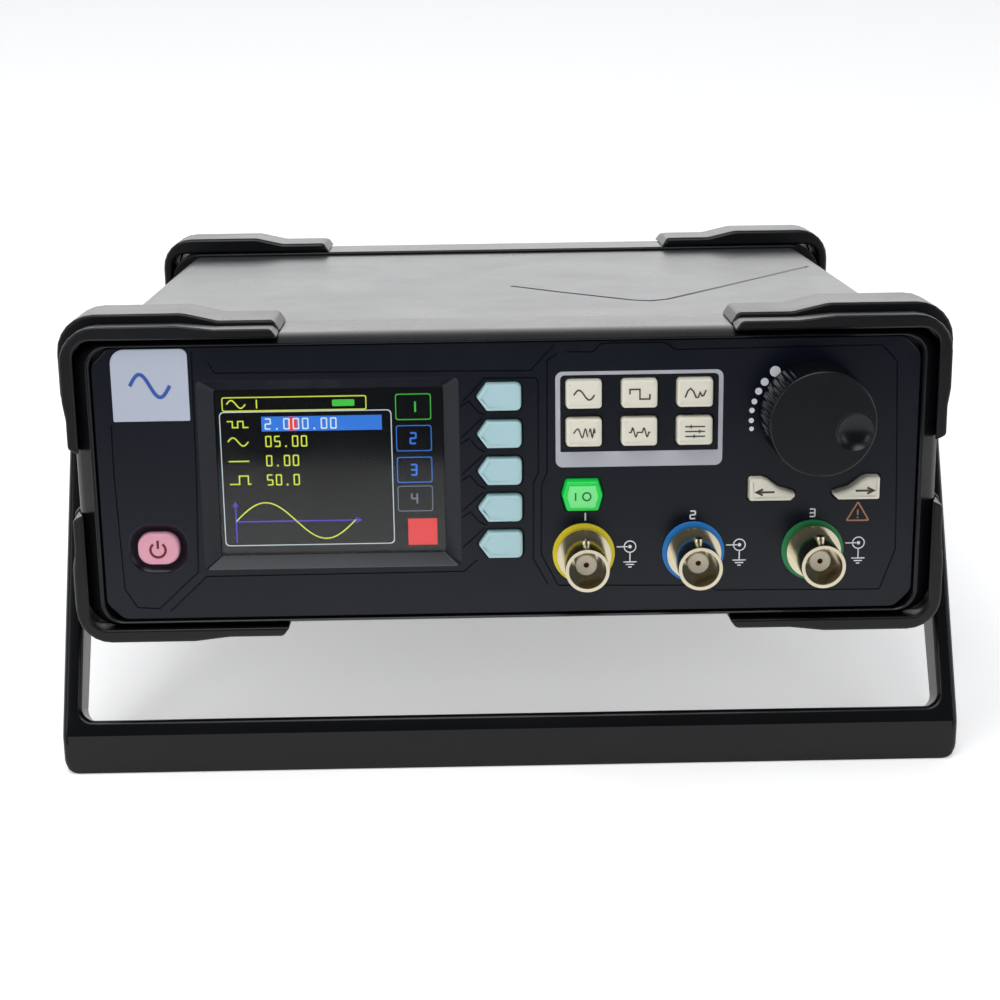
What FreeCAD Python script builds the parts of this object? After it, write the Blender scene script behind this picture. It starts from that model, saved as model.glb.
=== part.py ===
import FreeCAD, Part
import math
import os
import re
import Sketcher

# Bench function generator on its carrying handle. Millimetres.
#
# The case is drawn level: X to the right, Y from the front panel to the back, Z up from the
# case's mid-height, with the panel's face at Y = 0. Every sub-part is then set in the stance the
# instrument stands in: the handle's crossbar and the rear corner bumpers on the bench, front up.

doc = FreeCAD.newDocument("function_generator")
Vector = FreeCAD.Vector

SIZES = [
    # case
    ("cover_half_width", 96.4), ("cover_half_height", 32.6), ("cover_length", 133.0),
    ("cover_wall", 2.0), ("cover_chamfer_x", 7.0), ("cover_chamfer_z", 5.5), ("cover_seam", 0.2),
    ("frame_lip", 1.0), ("frame_depth", 21.0), ("spigot_length", 6.0), ("spigot_wall", 2.0),
    ("spigot_clearance", 0.1), ("rim_forward", 1.0), ("rim_wall", 0.95), ("rim_chamfer", 4.0),
    ("flare_side", 4.5), ("flare_top", 1.1), ("flare_length", 9.0), ("panel_ledge", 2.0),
    # corner bumpers
    ("bumper_stand_side", 2.6), ("bumper_stand_top", 4.4), ("bumper_tail_side", 1.1),
    ("bumper_tail_top", 2.6), ("bumper_lip_drop", 1.8), ("bumper_lip_tail", 0.9),
    ("bumper_neck_drop", 2.2), ("bumper_neck_tail", 0.6),
    ("bumper_lip_start", 2.0), ("bumper_lip_end", 3.6), ("bumper_main_start", 4.9),
    ("bumper_back", 0.4), ("bumper_corner", 5.0), ("bumper_inner_corner", 4.0),
    ("leg_end_x", 50.0), ("leg_ramp_x", 63.8), ("leg_thick_x", 71.7), ("leg_nose", 2.0),
    ("upper_end_z", 7.8), ("upper_ramp_z", 15.6), ("upper_thick_z", 19.6),
    ("lower_end_z", 6.0), ("lower_ramp_z", 13.7), ("lower_thick_z", 20.6),
    # front panel, display
    ("panel_thickness", 3.0), ("panel_clearance", 0.15),
    ("display_from_left", 52.0), ("display_z", 1.9), ("display_width", 51.0),
    ("display_height", 38.2),
    ("bevel_side", 3.3), ("bevel_top", 2.4), ("window_margin", 1.5), ("window_thickness", 0.8),
    ("lcd_margin_x", 5.5), ("lcd_margin_z", 2.2), ("lcd_thickness", 2.4), ("stack_gap", 0.05),
    # keys
    ("key_clearance", 0.15), ("key_height", 2.2), ("key_travel", 0.8), ("flange_margin", 0.7),
    ("flange_thickness", 1.0), ("stem_radius", 1.6), ("stem_reach", 0.3), ("well_clearance", 0.15),
    ("well_depth", 1.5), ("switch_size", 6.0), ("switch_height", 3.2),
    ("soft_from_display", 37.95), ("soft_z", 2.28), ("soft_gap", 2.26), ("soft_width", 10.0),
    ("soft_key_height", 6.2), ("soft_point", 2.2),
    ("function_from_right", 62.55), ("function_z", 15.2), ("function_gap_x", 4.2),
    ("function_gap_z", 2.1), ("function_width", 8.1), ("function_height", 6.5),
    ("output_from_function", 12.65), ("output_below_panel_axis", 3.6), ("output_width", 9.2),
    ("output_height", 7.0), ("output_cut", 1.0),
    ("arrow_from_right", 23.2), ("arrow_z", -2.8), ("arrow_gap", 8.6), ("arrow_width", 10.4),
    ("arrow_height", 5.4), ("arrow_shoulder", 3.5), ("arrow_tip", 1.0),
    ("power_from_left", 12.7), ("power_z", -14.6), ("power_width", 9.4), ("power_height", 7.4),
    ("power_cut", 2.2), ("power_key_height", 0.8), ("power_dish_margin", 2.1),
    ("power_dish_depth", 1.2),
    # control boards behind the panel
    ("front_board_thickness", 1.6), ("front_board_margin", 6.0),
    ("front_board_before_keys", 4.55), ("power_board_width", 16.0), ("power_board_height", 14.0),
    # knob and encoder
    ("knob_from_right", 24.0), ("knob_z", 14.5), ("knob_radius", 11.9), ("knob_front", 14.0),
    ("knob_gap", 0.8), ("knob_skirt", 6.0), ("dimple_radius", 6.0), ("dimple_offset", 7.2),
    ("dimple_depth", 1.4), ("shaft_radius", 3.0), ("shaft_clearance", 0.05),
    ("shaft_in_knob", 8.0), ("bushing_radius", 3.5), ("bushing_clearance", 0.15),
    ("bushing_stand", 3.4), ("nut_across", 9.0), ("nut_thickness", 1.6), ("encoder_size", 12.0),
    # BNC sockets
    ("bnc_from_right", 23.1), ("bnc_third_gap", 27.0), ("bnc_second_gap", 24.8), ("bnc_z", -17.3),
    ("bnc_front", 14.5), ("bnc_radius", 4.83), ("bnc_bore", 4.1), ("bnc_flange_radius", 6.1),
    ("bnc_flange", 1.8), ("bnc_thread_radius", 4.7), ("bnc_thread_clearance", 0.2),
    ("bnc_lug_radius", 1.0), ("bnc_lug_reach", 5.6), ("bnc_lug_back", 5.2), ("bnc_floor", 9.0),
    ("bnc_insulator_radius", 2.45), ("bnc_insulator_back", 4.6), ("bnc_tail", 12.0),
    ("contact_radius", 1.05), ("contact_bore", 0.7), ("contact_depth", 5.5),
    ("contact_back", 4.9), ("ring_radius", 7.03), ("ring_thickness", 0.7),
    ("bnc_nut_across", 12.7), ("bnc_nut_thickness", 2.4),
    # carrying handle, drawn about its pivot with the arms hanging straight down
    ("pivot_y", 42.0), ("pivot_z", 0.0), ("handle_lean", 25.2), ("arm_gap", 0.7),
    ("arm_thickness", 4.3), ("arm_eye_radius", 9.0), ("arm_front", 9.0), ("arm_back_top", 5.0),
    ("bar_top", 67.7), ("bar_crease", 71.5), ("bar_bottom", 79.9),
    ("bar_toe", 4.7), ("bar_heel_drop", 75.6), ("bar_back", -0.6),
    ("pin_radius", 4.0), ("pin_clearance", 0.05), ("pin_head_radius", 7.0),
    ("pin_head_thickness", 1.3), ("pin_head_clearance", 0.15), ("hub_radius", 11.0),
    ("hub_gap", 0.1), ("bracket_size", 24.0), ("bracket_thickness", 4.0),
    # rear panel and its sockets
    ("rear_panel_inset", 2.0), ("rear_panel_thickness", 2.0), ("vent_count", 9),
    ("vent_pitch", 5.0), ("vent_width", 2.4), ("vent_height", 26.0), ("vent_x", 40.0),
    ("jack_x", -62.0), ("jack_width", 9.0), ("jack_height", 11.0), ("jack_length", 14.0),
    ("jack_bore", 3.15), ("jack_pin", 1.05), ("jack_depth", 9.5), ("jack_pin_back", 1.5),
    ("usb_x", -36.0), ("usb_width", 12.0), ("usb_height", 11.0), ("usb_length", 16.0),
    ("usb_mouth_width", 8.45), ("usb_mouth_height", 7.8), ("usb_mouth_depth", 9.0),
    ("usb_tongue_width", 5.6), ("usb_tongue_height", 3.2), ("usb_tongue_back", 1.2),
    ("socket_clearance", 0.3),
    # main board and what stands on it
    ("board_floor", 7.0), ("board_thickness", 1.6), ("board_margin_x", 19.0),
    ("board_front", 31.0), ("board_rear_gap", 1.0), ("standoff_radius", 3.0),
    ("standoff_inset", 8.0), ("screw_head_radius", 2.6), ("screw_head_height", 1.8),
    ("shield_x", 30.0), ("shield_y", 45.0), ("shield_width", 60.0), ("shield_length", 55.0),
    ("shield_height", 12.0), ("shield_wall", 0.6), ("sink_x", -40.0), ("sink_y", 80.0),
    ("sink_width", 32.0), ("sink_length", 30.0), ("sink_base", 2.5), ("sink_fin_height", 10.0),
    ("sink_fin_count", 6), ("sink_fin_width", 1.6), ("ribbon_width", 24.0),
    ("ribbon_thickness", 0.8), ("ribbon_x", 35.0), ("ribbon_rise", 14.0),
    # long screws that draw the rear frame to the front frame
    ("screw_from_side", 12.4), ("screw_from_top", 10.6), ("frame_screw_radius", 1.7),
    ("frame_screw_head_radius", 3.2), ("frame_screw_head_height", 2.2),
    ("frame_screw_clearance", 0.2), ("thread_clearance", 0.02), ("screw_boss_radius", 5.5),
    ("screw_grip", 12.0), ("boss_gap", 0.5),
]

# Places that follow from the sizes above.
DERIVED = {
    "case_depth": "cover_length + 2 * frame_depth",
    "frame_screw_x": "cover_half_width - screw_from_side",
    "frame_screw_z": "cover_half_height - screw_from_top",
    "frame_half_width": "cover_half_width + frame_lip",
    "frame_half_height": "cover_half_height + frame_lip",
    "rim_half_width": "frame_half_width - flare_side",
    "rim_half_height": "frame_half_height - flare_top",
    "panel_half_width": "rim_half_width - rim_wall - panel_clearance",
    "panel_half_height": "rim_half_height - rim_wall - panel_clearance",
    "display_x": "display_from_left - panel_half_width",
    "soft_x": "display_x + soft_from_display",
    "soft_pitch": "soft_key_height + soft_gap",
    "function_x": "panel_half_width - function_from_right",
    "function_pitch_x": "function_width + function_gap_x",
    "function_pitch_z": "function_height + function_gap_z",
    "output_x": "function_x - output_from_function",
    "output_z": "-output_below_panel_axis",
    "arrow_x": "panel_half_width - arrow_from_right",
    "arrow_spread": "(arrow_width + arrow_gap) / 2",
    "power_x": "power_from_left - panel_half_width",
    "knob_x": "panel_half_width - knob_from_right",
    "bnc_third_x": "panel_half_width - bnc_from_right",
    "bnc_second_x": "bnc_third_x - bnc_third_gap",
    "bnc_first_x": "bnc_second_x - bnc_second_gap",
    "front_board_left": "soft_x - soft_width / 2 - front_board_before_keys",
    "bumper_half_width": "frame_half_width + bumper_stand_side",
    "bumper_half_height": "frame_half_height + bumper_stand_top",
    "flange_front": "panel_thickness + stack_gap",
    "switch_front": "flange_front + flange_thickness + key_travel + 0.8",
    "board_face": "switch_front + switch_height",
    "encoder_front": "panel_thickness + stack_gap",
    "stem_end": "switch_front + stem_reach",
    "lcd_front": "panel_thickness + window_thickness + 2 * stack_gap",
    "arm_inner": "bumper_half_width + arm_gap",
    "arm_outer": "arm_inner + arm_thickness",
    "board_top": "board_floor - cover_half_height + cover_wall + board_thickness",
    "board_rear": "case_depth - rear_panel_inset - rear_panel_thickness - board_rear_gap",
    "board_half_width": "cover_half_width - board_margin_x",
    "bnc_back": "panel_thickness + bnc_nut_thickness + bnc_tail",
    "screw_tip": "frame_depth + spigot_length - screw_grip",
    "rear_panel_back": "case_depth - rear_panel_inset",
    "rear_panel_front": "rear_panel_back - rear_panel_thickness",
}

sheet = doc.addObject("Spreadsheet::Sheet", "sizes")
for row, (size_name, size_value) in enumerate(SIZES, start=1):
    sheet.set(f"A{row}", size_name)
    sheet.set(f"B{row}", str(size_value))
    sheet.setAlias(f"B{row}", size_name)
doc.recompute()
SIZE_NAMES = {size_name for size_name, _ in SIZES}


def formula(text):
    """A formula in size names, turned into one that refers to the sheet."""
    def reference(match):
        word = match.group()
        if word in DERIVED:
            return "(" + formula(DERIVED[word]) + ")"
        return "sizes." + word if word in SIZE_NAMES else word
    return re.sub(r"[a-z_][a-z0-9_]*", reference, str(text))


def size(text):
    """The number a formula in size names stands for."""
    return float(sheet.evalExpression(formula(text)))


def bind(thing, **formulas):
    for key, text in formulas.items():
        thing.setExpression(key.replace("__", "."), formula(text))
    return thing


# ---- the stance -----------------------------------------------------------------------------

def stance():
    """Tilts the level case until the handle's toe and the rear bumpers share the bench."""
    lean = math.radians(size("handle_lean"))
    drop, toe = size("bar_bottom"), size("bar_toe")
    toe_y = size("pivot_y") - drop * math.sin(lean) - toe * math.cos(lean)
    toe_z = size("pivot_z") - drop * math.cos(lean) + toe * math.sin(lean)
    heel_y = size("case_depth + bumper_lip_start")
    heel_z = -size("bumper_half_height - bumper_lip_drop")
    back_y = size("case_depth - bumper_main_start")
    back_z = -size("bumper_half_height")
    tilt = min(math.atan2(z - toe_z, y - toe_y) for y, z in ((heel_y, heel_z), (back_y, back_z)))
    return FreeCAD.Placement(Vector(0, 0, 0), FreeCAD.Rotation(Vector(1, 0, 0), -math.degrees(tilt)))


STANCE = stance()
NODES = []
CUTS = []


def finish(thing, label, x=0.0, y=0.0, z=0.0, turn_x=0.0):
    """Names a sub-part and sets it, from its own origin in the level case, in the stance."""
    thing.Label = label
    NODES.append((thing, Vector(x, y, z), turn_x))
    return thing


# ---- sketches and features ------------------------------------------------------------------

def body(name):
    return doc.addObject("PartDesign::Body", name + "_body")


def plane_of(owner, role):
    return next(item for item in owner.Origin.OriginFeatures if item.Role == role)


def sketch_on(owner, role, offset):
    """A sketch on one of the body's origin planes, moved along X, Y or Z by a formula."""
    sketch = owner.newObject("Sketcher::SketchObject", "outline")
    sketch.AttachmentSupport = [(plane_of(owner, role), "")]
    sketch.MapMode = "FlatFace"
    along = f"-({offset})" if role == "XZ_Plane" else f"{offset}"
    sketch.setExpression("AttachmentOffset.Base.z", formula(along))
    return sketch


def pin_point(sketch, element, end, across, up):
    """Ties a sketch point to the origin by two formulas."""
    for kind, text in (("DistanceX", across), ("DistanceY", up)):
        index = sketch.addConstraint(
            Sketcher.Constraint(kind, -1, 1, element, end, size(text)))
        sketch.setExpression(f"Constraints[{index}]", formula(text))


def polygon(sketch, points):
    """A closed outline through points, each a pair of formulas."""
    corners = [Vector(size(across), size(up), 0) for across, up in points]
    first = sketch.GeometryCount
    for index, corner in enumerate(corners):
        sketch.addGeometry(Part.LineSegment(corner, corners[(index + 1) % len(corners)]), False)
    for index, (across, up) in enumerate(points):
        following = first + (index + 1) % len(points)
        sketch.addConstraint(Sketcher.Constraint("Coincident", first + index, 2, following, 1))
        pin_point(sketch, first + index, 1, across, up)


def circle(sketch, across, up, radius):
    centre = Vector(size(across), size(up), 0)
    index = sketch.addGeometry(Part.Circle(centre, Vector(0, 0, 1), size(radius)), False)
    pin_point(sketch, index, 3, across, up)
    held = sketch.addConstraint(Sketcher.Constraint("Radius", index, size(radius)))
    sketch.setExpression(f"Constraints[{held}]", formula(radius))


def pad(owner, sketch, length, role="XZ_Plane"):
    """Fills a sketch towards the back, or along +X or +Z, by a length."""
    feature = owner.newObject("PartDesign::Pad", "fill")
    feature.Profile = sketch
    feature.Reversed = role == "XZ_Plane"
    bind(feature, Length=length)
    return feature


def pocket(owner, sketch, length, role="XZ_Plane"):
    """Cuts a sketch towards the back, or along +X or +Z, by a length."""
    before = owner.Tip
    feature = owner.newObject("PartDesign::Pocket", "cut")
    feature.Profile = sketch
    feature.Reversed = role != "XZ_Plane"
    bind(feature, Length=length)
    CUTS.append((feature, before))
    return feature


def pad_between(owner, points, start, end):
    sketch = sketch_on(owner, "XZ_Plane", start)
    polygon(sketch, points)
    return pad(owner, sketch, f"({end}) - ({start})")


def pocket_between(owner, points, start, end):
    sketch = sketch_on(owner, "XZ_Plane", start)
    polygon(sketch, points)
    return pocket(owner, sketch, f"({end}) - ({start})")


def loft_between(owner, kind, near, start, far, end):
    """A straight-sided loft between two outlines at two depths."""
    first = sketch_on(owner, "XZ_Plane", start)
    polygon(first, near)
    second = sketch_on(owner, "XZ_Plane", end)
    polygon(second, far)
    before = owner.Tip
    feature = owner.newObject(kind, "loft")
    feature.Profile = first
    feature.Sections = [second]
    feature.Ruled = True
    if kind == "PartDesign::SubtractiveLoft":
        CUTS.append((feature, before))
    return feature


def revolve(name, points):
    """Turns a half outline, given as radius and depth, about the depth axis."""
    owner = body(name)
    sketch = sketch_on(owner, "XY_Plane", "0")
    polygon(sketch, points)
    feature = owner.newObject("PartDesign::Revolution", "turn")
    feature.Profile = sketch
    feature.ReferenceAxis = (sketch, ["V_Axis"])
    feature.Angle = 360
    return owner


def box(name, x_from, x_to, y_from, y_to, z_from, z_to):
    solid = doc.addObject("Part::Box", name)
    bind(solid, Length=f"({x_to}) - ({x_from})", Width=f"({y_to}) - ({y_from})",
         Height=f"({z_to}) - ({z_from})", Placement__Base__x=x_from, Placement__Base__y=y_from,
         Placement__Base__z=z_from)
    return solid


def rod(name, axis, radius, length, x="0", y="0", z="0"):
    """A cylinder that starts at a point and runs along +X, +Y or +Z."""
    solid = doc.addObject("Part::Cylinder", name)
    turns = {"X": (Vector(0, 1, 0), 90), "Y": (Vector(1, 0, 0), -90), "Z": (Vector(0, 0, 1), 0)}
    solid.Placement.Rotation = FreeCAD.Rotation(*turns[axis])
    bind(solid, Radius=radius, Height=length, Placement__Base__x=x, Placement__Base__y=y,
         Placement__Base__z=z)
    return solid


def cut(name, base, tool):
    result = doc.addObject("Part::Cut", name)
    result.Base = base
    result.Tool = tool
    CUTS.append((result, base))
    return result


def join(name, pieces, kind="Part::MultiFuse"):
    result = doc.addObject(kind, name)
    if kind == "Part::Compound":
        result.Links = pieces
    else:
        result.Shapes = pieces
    return result


def group(name, pieces):
    """Separate solids that share one node."""
    return join(name, pieces, "Part::Compound")


# ---- outlines -------------------------------------------------------------------------------

def octagon(half_width, half_height, chamfer_x, chamfer_z):
    """A rectangle about the axis with its corners cut."""
    inner_x = f"({half_width}) - ({chamfer_x})"
    inner_z = f"({half_height}) - ({chamfer_z})"
    corner = [(inner_x, half_height), (half_width, inner_z)]
    right = corner + [(across, f"-({up})") for across, up in reversed(corner)]
    left = [(f"-({across})", up) for across, up in reversed(right)]
    return right + left


def rectangle(x, z, width, height):
    return [(f"{x} + {sx} * ({width}) / 2", f"{z} + {sz} * ({height}) / 2")
            for sx, sz in ((-1, 1), (1, 1), (1, -1), (-1, -1))]


def shifted(points, x, z):
    return [(f"({x}) + ({across})", f"({z}) + ({up})") for across, up in points]


def soft_outline(grow):
    """A key that comes to a point at its left end."""
    reach, rise = f"soft_width / 2 + {grow}", f"soft_key_height / 2 + {grow}"
    return [(f"-({reach})", "0"), (f"-({reach}) + soft_point", rise), (reach, rise),
            (reach, f"-({rise})"), (f"-({reach}) + soft_point", f"-({rise})")]


def function_outline(grow):
    return rectangle("0", "0", f"function_width + 2 * {grow}", f"function_height + 2 * {grow}")


def output_outline(grow):
    """A key that is widest at mid-height."""
    reach, rise = f"output_width / 2 + {grow}", f"output_height / 2 + {grow}"
    half = [(f"{reach} - output_cut", rise), (reach, "0"), (f"{reach} - output_cut", f"-({rise})")]
    return half + [(f"-({across})", up) for across, up in reversed(half)]


def arrow_outline(grow, side):
    """A hollow-backed wedge that tapers towards the middle of the pair."""
    reach, rise = f"arrow_width / 2 + {grow}", f"arrow_height / 2 + {grow}"
    points = [(f"-({reach})", rise), (f"-({reach}) + arrow_shoulder + {grow}", rise),
              (f"0.5 + {grow}", f"0.2 + {grow}"), (f"({reach}) - arrow_tip", f"-1.2 + {grow}"),
              (reach, f"arrow_tip - {rise}"), (reach, f"-({rise})"),
              (f"-({reach})", f"-({rise})")]
    return [(f"{side} * ({across})", up) for across, up in points]


def power_outline(grow):
    reach, rise = f"power_width / 2 + {grow}", f"power_height / 2 + {grow}"
    return octagon(reach, rise, "power_cut", "power_cut")


# Each key: name, outline, centre, how far it stands out.
KEYS = []
for place in range(5):
    KEYS.append((f"soft_key_{place + 1}", soft_outline, "soft_x",
                 f"soft_z + {2 - place} * soft_pitch", "key_height"))
for place in range(6):
    KEYS.append((f"function_key_{place + 1}", function_outline,
                 f"function_x + {place % 3 - 1} * function_pitch_x",
                 f"function_z + {0.5 - place // 3} * function_pitch_z", "key_height"))
KEYS.append(("output_key", output_outline, "output_x", "output_z", "key_height"))
KEYS.append(("left_arrow_key", lambda grow: arrow_outline(grow, 1),
             "arrow_x - arrow_spread", "arrow_z", "key_height"))
KEYS.append(("right_arrow_key", lambda grow: arrow_outline(grow, -1),
             "arrow_x + arrow_spread", "arrow_z", "key_height"))
KEYS.append(("power_key", power_outline, "power_x", "power_z", "power_key_height"))

BNC_PLACES = (("first", "bnc_first_x"), ("second", "bnc_second_x"), ("third", "bnc_third_x"))


# ---- case -----------------------------------------------------------------------------------

def from_end(end, start, stop):
    """A span of depth measured from the front or from the rear of the case."""
    if end == "front":
        return start, stop
    return f"case_depth - ({stop})", f"case_depth - ({start})"


def at_screws(sketch, radius):
    """A circle at each of the four long screws."""
    for sx in (-1, 1):
        for sz in (-1, 1):
            circle(sketch, f"{sx} * frame_screw_x", f"{sz} * frame_screw_z", radius)


def end_frame(end):
    """A moulded ring that closes the covers' ends; its flared nose surrounds the panel."""
    owner = body(end + "_frame")
    nose = octagon("rim_half_width", "rim_half_height", "rim_chamfer", "rim_chamfer")
    outer = octagon("frame_half_width", "frame_half_height", "cover_chamfer_x", "cover_chamfer_z")
    inside = "(cover_wall + spigot_clearance)"
    spigot = octagon(f"cover_half_width - {inside}", f"cover_half_height - {inside}",
                     "cover_chamfer_x", "cover_chamfer_z")
    well = octagon("panel_half_width + panel_clearance", "panel_half_height + panel_clearance",
                   "rim_chamfer", "rim_chamfer")
    through = octagon(f"cover_half_width - {inside} - spigot_wall - panel_ledge",
                      f"cover_half_height - {inside} - spigot_wall",
                      "cover_chamfer_x", "cover_chamfer_z")
    nose_at, flare_at = "-rim_forward", "flare_length - rim_forward"
    if end == "front":
        loft_between(owner, "PartDesign::AdditiveLoft", nose, nose_at, outer, flare_at)
    else:
        loft_between(owner, "PartDesign::AdditiveLoft", outer, f"case_depth - ({flare_at})",
                     nose, f"case_depth - ({nose_at})")
    pad_between(owner, outer, *from_end(end, flare_at, "frame_depth"))
    pad_between(owner, spigot, *from_end(end, "frame_depth", "frame_depth + spigot_length"))
    seat = "panel_thickness" if end == "front" else "rear_panel_inset + rear_panel_thickness"
    pocket_between(owner, well, *from_end(end, nose_at, seat))
    pocket_between(owner, through, *from_end(end, seat, "frame_depth + spigot_length"))
    clear_of_boards = "board_face + front_board_thickness + boss_gap"
    boss_from, boss_to = from_end(end, clear_of_boards if end == "front" else seat,
                                  "frame_depth + spigot_length")
    bosses = sketch_on(owner, "XZ_Plane", boss_from)
    at_screws(bosses, "screw_boss_radius")
    pad(owner, bosses, f"({boss_to}) - ({boss_from})")
    if end == "front":
        threads = sketch_on(owner, "XZ_Plane", "screw_tip")
        at_screws(threads, "frame_screw_radius + thread_clearance")
        pocket(owner, threads, f"({boss_to}) - screw_tip")
    else:
        holes = sketch_on(owner, "XZ_Plane", boss_from)
        at_screws(holes, "frame_screw_radius + frame_screw_clearance")
        pocket(owner, holes, f"({boss_to}) - ({boss_from})")
    finish(owner, end + "_frame")


def bumper_outline(side, level, drop, tail_drop, inner_x, inner_z):
    """An L round one case corner: thick at the corner, stepping down to a tail on each leg."""
    sx, sz = (-1 if side == "left" else 1), (1 if level == "upper" else -1)
    thick_x, thick_z = f"bumper_half_width - {drop}", f"bumper_half_height - {drop}"
    tail_x = f"frame_half_width + bumper_tail_side - {tail_drop}"
    tail_z = f"frame_half_height + bumper_tail_top - {tail_drop}"
    end_z, ramp_z, full_z = (f"{level}_{part}_z" for part in ("end", "ramp", "thick"))
    corner = [(f"{inner_x} - bumper_inner_corner", inner_z),
              (inner_x, f"{inner_z} - bumper_inner_corner")]
    leg_side = [(inner_x, end_z), (tail_x, f"{end_z} + leg_nose"), (tail_x, ramp_z),
                (thick_x, full_z), (thick_x, f"{thick_z} - bumper_corner")]
    leg_top = [(f"{thick_x} - bumper_corner", thick_z), ("leg_thick_x", thick_z),
               ("leg_ramp_x", tail_z), ("leg_end_x + leg_nose", tail_z), ("leg_end_x", inner_z)]
    points = corner + leg_side + leg_top
    return [(f"{sx} * ({across})", f"{sz} * ({up})") for across, up in points]


def corner_bumper(end, level, side):
    """A soft corner guard: a stepped lip at the nose, a groove, then the tall main band."""
    name = f"{end}_{level}_{side}_bumper"
    owner = body(name)
    flare = "(frame_lip_here + rim_forward) / flare_length"
    grown = {}
    for part, depth in (("lip", "bumper_lip_end"), ("neck", "bumper_main_start")):
        ratio = flare.replace("frame_lip_here", depth)
        grown[part] = (f"rim_half_width + flare_side * {ratio} + 0.1",
                       f"rim_half_height + flare_top * {ratio} + 0.1")
    main = bumper_outline(side, level, "0", "0", "frame_half_width", "frame_half_height")
    neck = bumper_outline(side, level, "bumper_neck_drop", "bumper_neck_tail", *grown["neck"])
    lip = bumper_outline(side, level, "bumper_lip_drop", "bumper_lip_tail", *grown["lip"])
    back = "frame_depth - bumper_back"
    pad_between(owner, main, *from_end(end, "bumper_main_start", back))
    pad_between(owner, neck, *from_end(end, "bumper_lip_end", "bumper_main_start"))
    pad_between(owner, lip, *from_end(end, "-bumper_lip_start", "bumper_lip_end"))
    finish(owner, name)


def cover(level):
    """One bent half of the sleeve between the two frames; the halves meet at mid-height."""
    sign = 1 if level == "upper" else -1
    name = level + "_cover"
    owner = body(name)
    outer = [("cover_half_width", "cover_seam / 2"),
             ("cover_half_width", "cover_half_height - cover_chamfer_z"),
             ("cover_half_width - cover_chamfer_x", "cover_half_height")]
    inner = [("cover_half_width - cover_wall", "cover_seam / 2"),
             ("cover_half_width - cover_wall", "cover_half_height - cover_wall - cover_chamfer_z"),
             ("cover_half_width - cover_wall - cover_chamfer_x", "cover_half_height - cover_wall")]
    outline = outer + [(f"-({across})", up) for across, up in outer[::-1]]
    outline += [(f"-({across})", up) for across, up in inner]
    outline += [(across, up) for across, up in inner[::-1]]
    flipped = [(across, f"{sign} * ({up})") for across, up in outline]
    pad_between(owner, flipped, "frame_depth", "frame_depth + cover_length")
    hole = rod(name + "_pin_hole", "X", "pin_radius + pin_clearance", "2 * arm_outer",
               "-arm_outer", "pivot_y", "pivot_z")
    finish(cut(name, owner, hole), name)


def long_screws():
    """Four long screws through the rear frame, along the case, into the front frame."""
    pieces = []
    for sx in (-1, 1):
        for sz in (-1, 1):
            tag = f"frame_screw_{'l' if sx < 0 else 'r'}{'d' if sz < 0 else 'u'}"
            across, up = f"{sx} * frame_screw_x", f"{sz} * frame_screw_z"
            shank = rod(tag + "_shank", "Y", "frame_screw_radius",
                        "rear_panel_back - screw_tip", across, "screw_tip", up)
            head = rod(tag + "_head", "Y", "frame_screw_head_radius", "frame_screw_head_height",
                       across, "rear_panel_back", up)
            pieces.append(join(tag, [shank, head]))
    finish(group("frame_screws", pieces), "frame_screws")


# ---- front panel ----------------------------------------------------------------------------

def front_panel():
    """The moulded panel: a bevelled display opening and a hole for every control."""
    owner = body("front_panel")
    outline = octagon("panel_half_width", "panel_half_height", "rim_chamfer", "rim_chamfer")
    pad_between(owner, outline, "0", "panel_thickness")
    near = rectangle("display_x", "display_z", "display_width + 2 * bevel_side",
                     "display_height + 2 * bevel_top")
    far = rectangle("display_x", "display_z", "display_width", "display_height")
    loft_between(owner, "PartDesign::SubtractiveLoft", near, "0", far, "panel_thickness")
    holes = sketch_on(owner, "XZ_Plane", "0")
    for name, outline_of, x, z, height in KEYS:
        polygon(holes, shifted(outline_of("key_clearance"), x, z))
    circle(holes, "knob_x", "knob_z", "bushing_radius + bushing_clearance")
    for name, x in BNC_PLACES:
        circle(holes, x, "bnc_z", "bnc_thread_radius + bnc_thread_clearance")
    pocket(owner, holes, "panel_thickness")
    dish = sketch_on(owner, "XZ_Plane", "0")
    polygon(dish, shifted(octagon("power_width / 2 + power_dish_margin",
                                  "power_height / 2 + power_dish_margin * 0.7",
                                  "power_cut + 1.5", "power_cut + 1.5"), "power_x", "power_z"))
    pocket(owner, dish, "power_dish_depth")
    finish(owner, "front_panel")


def display():
    """The clear window behind the bevelled opening, and the display module behind that."""
    for name, grow_x, grow_z, start, length in (
            ("display_window", "window_margin", "window_margin", "panel_thickness + stack_gap",
             "window_thickness"),
            ("display_module", "lcd_margin_x", "lcd_margin_z", "lcd_front", "lcd_thickness")):
        finish(join(name, [box(
            name + "_plate", f"display_x - display_width / 2 - {grow_x}",
            f"display_x + display_width / 2 + {grow_x}", start, f"{start} + {length}",
            f"display_z - display_height / 2 - {grow_z}",
            f"display_z + display_height / 2 + {grow_z}")], "Part::Compound"), name)


def key(name, outline_of, x, z, height):
    """A moulded cap held by a flange behind the panel, with a stem into its switch."""
    owner = body(name)
    pad_between(owner, outline_of("0"), f"-{height}", "flange_front")
    pad_between(owner, outline_of("flange_margin"), "flange_front",
                "flange_front + flange_thickness")
    stem = sketch_on(owner, "XZ_Plane", "flange_front + flange_thickness")
    circle(stem, "0", "0", "stem_radius")
    pad(owner, stem, "stem_end - flange_front - flange_thickness")
    finish(owner, name, x=size(x), z=size(z))


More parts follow.
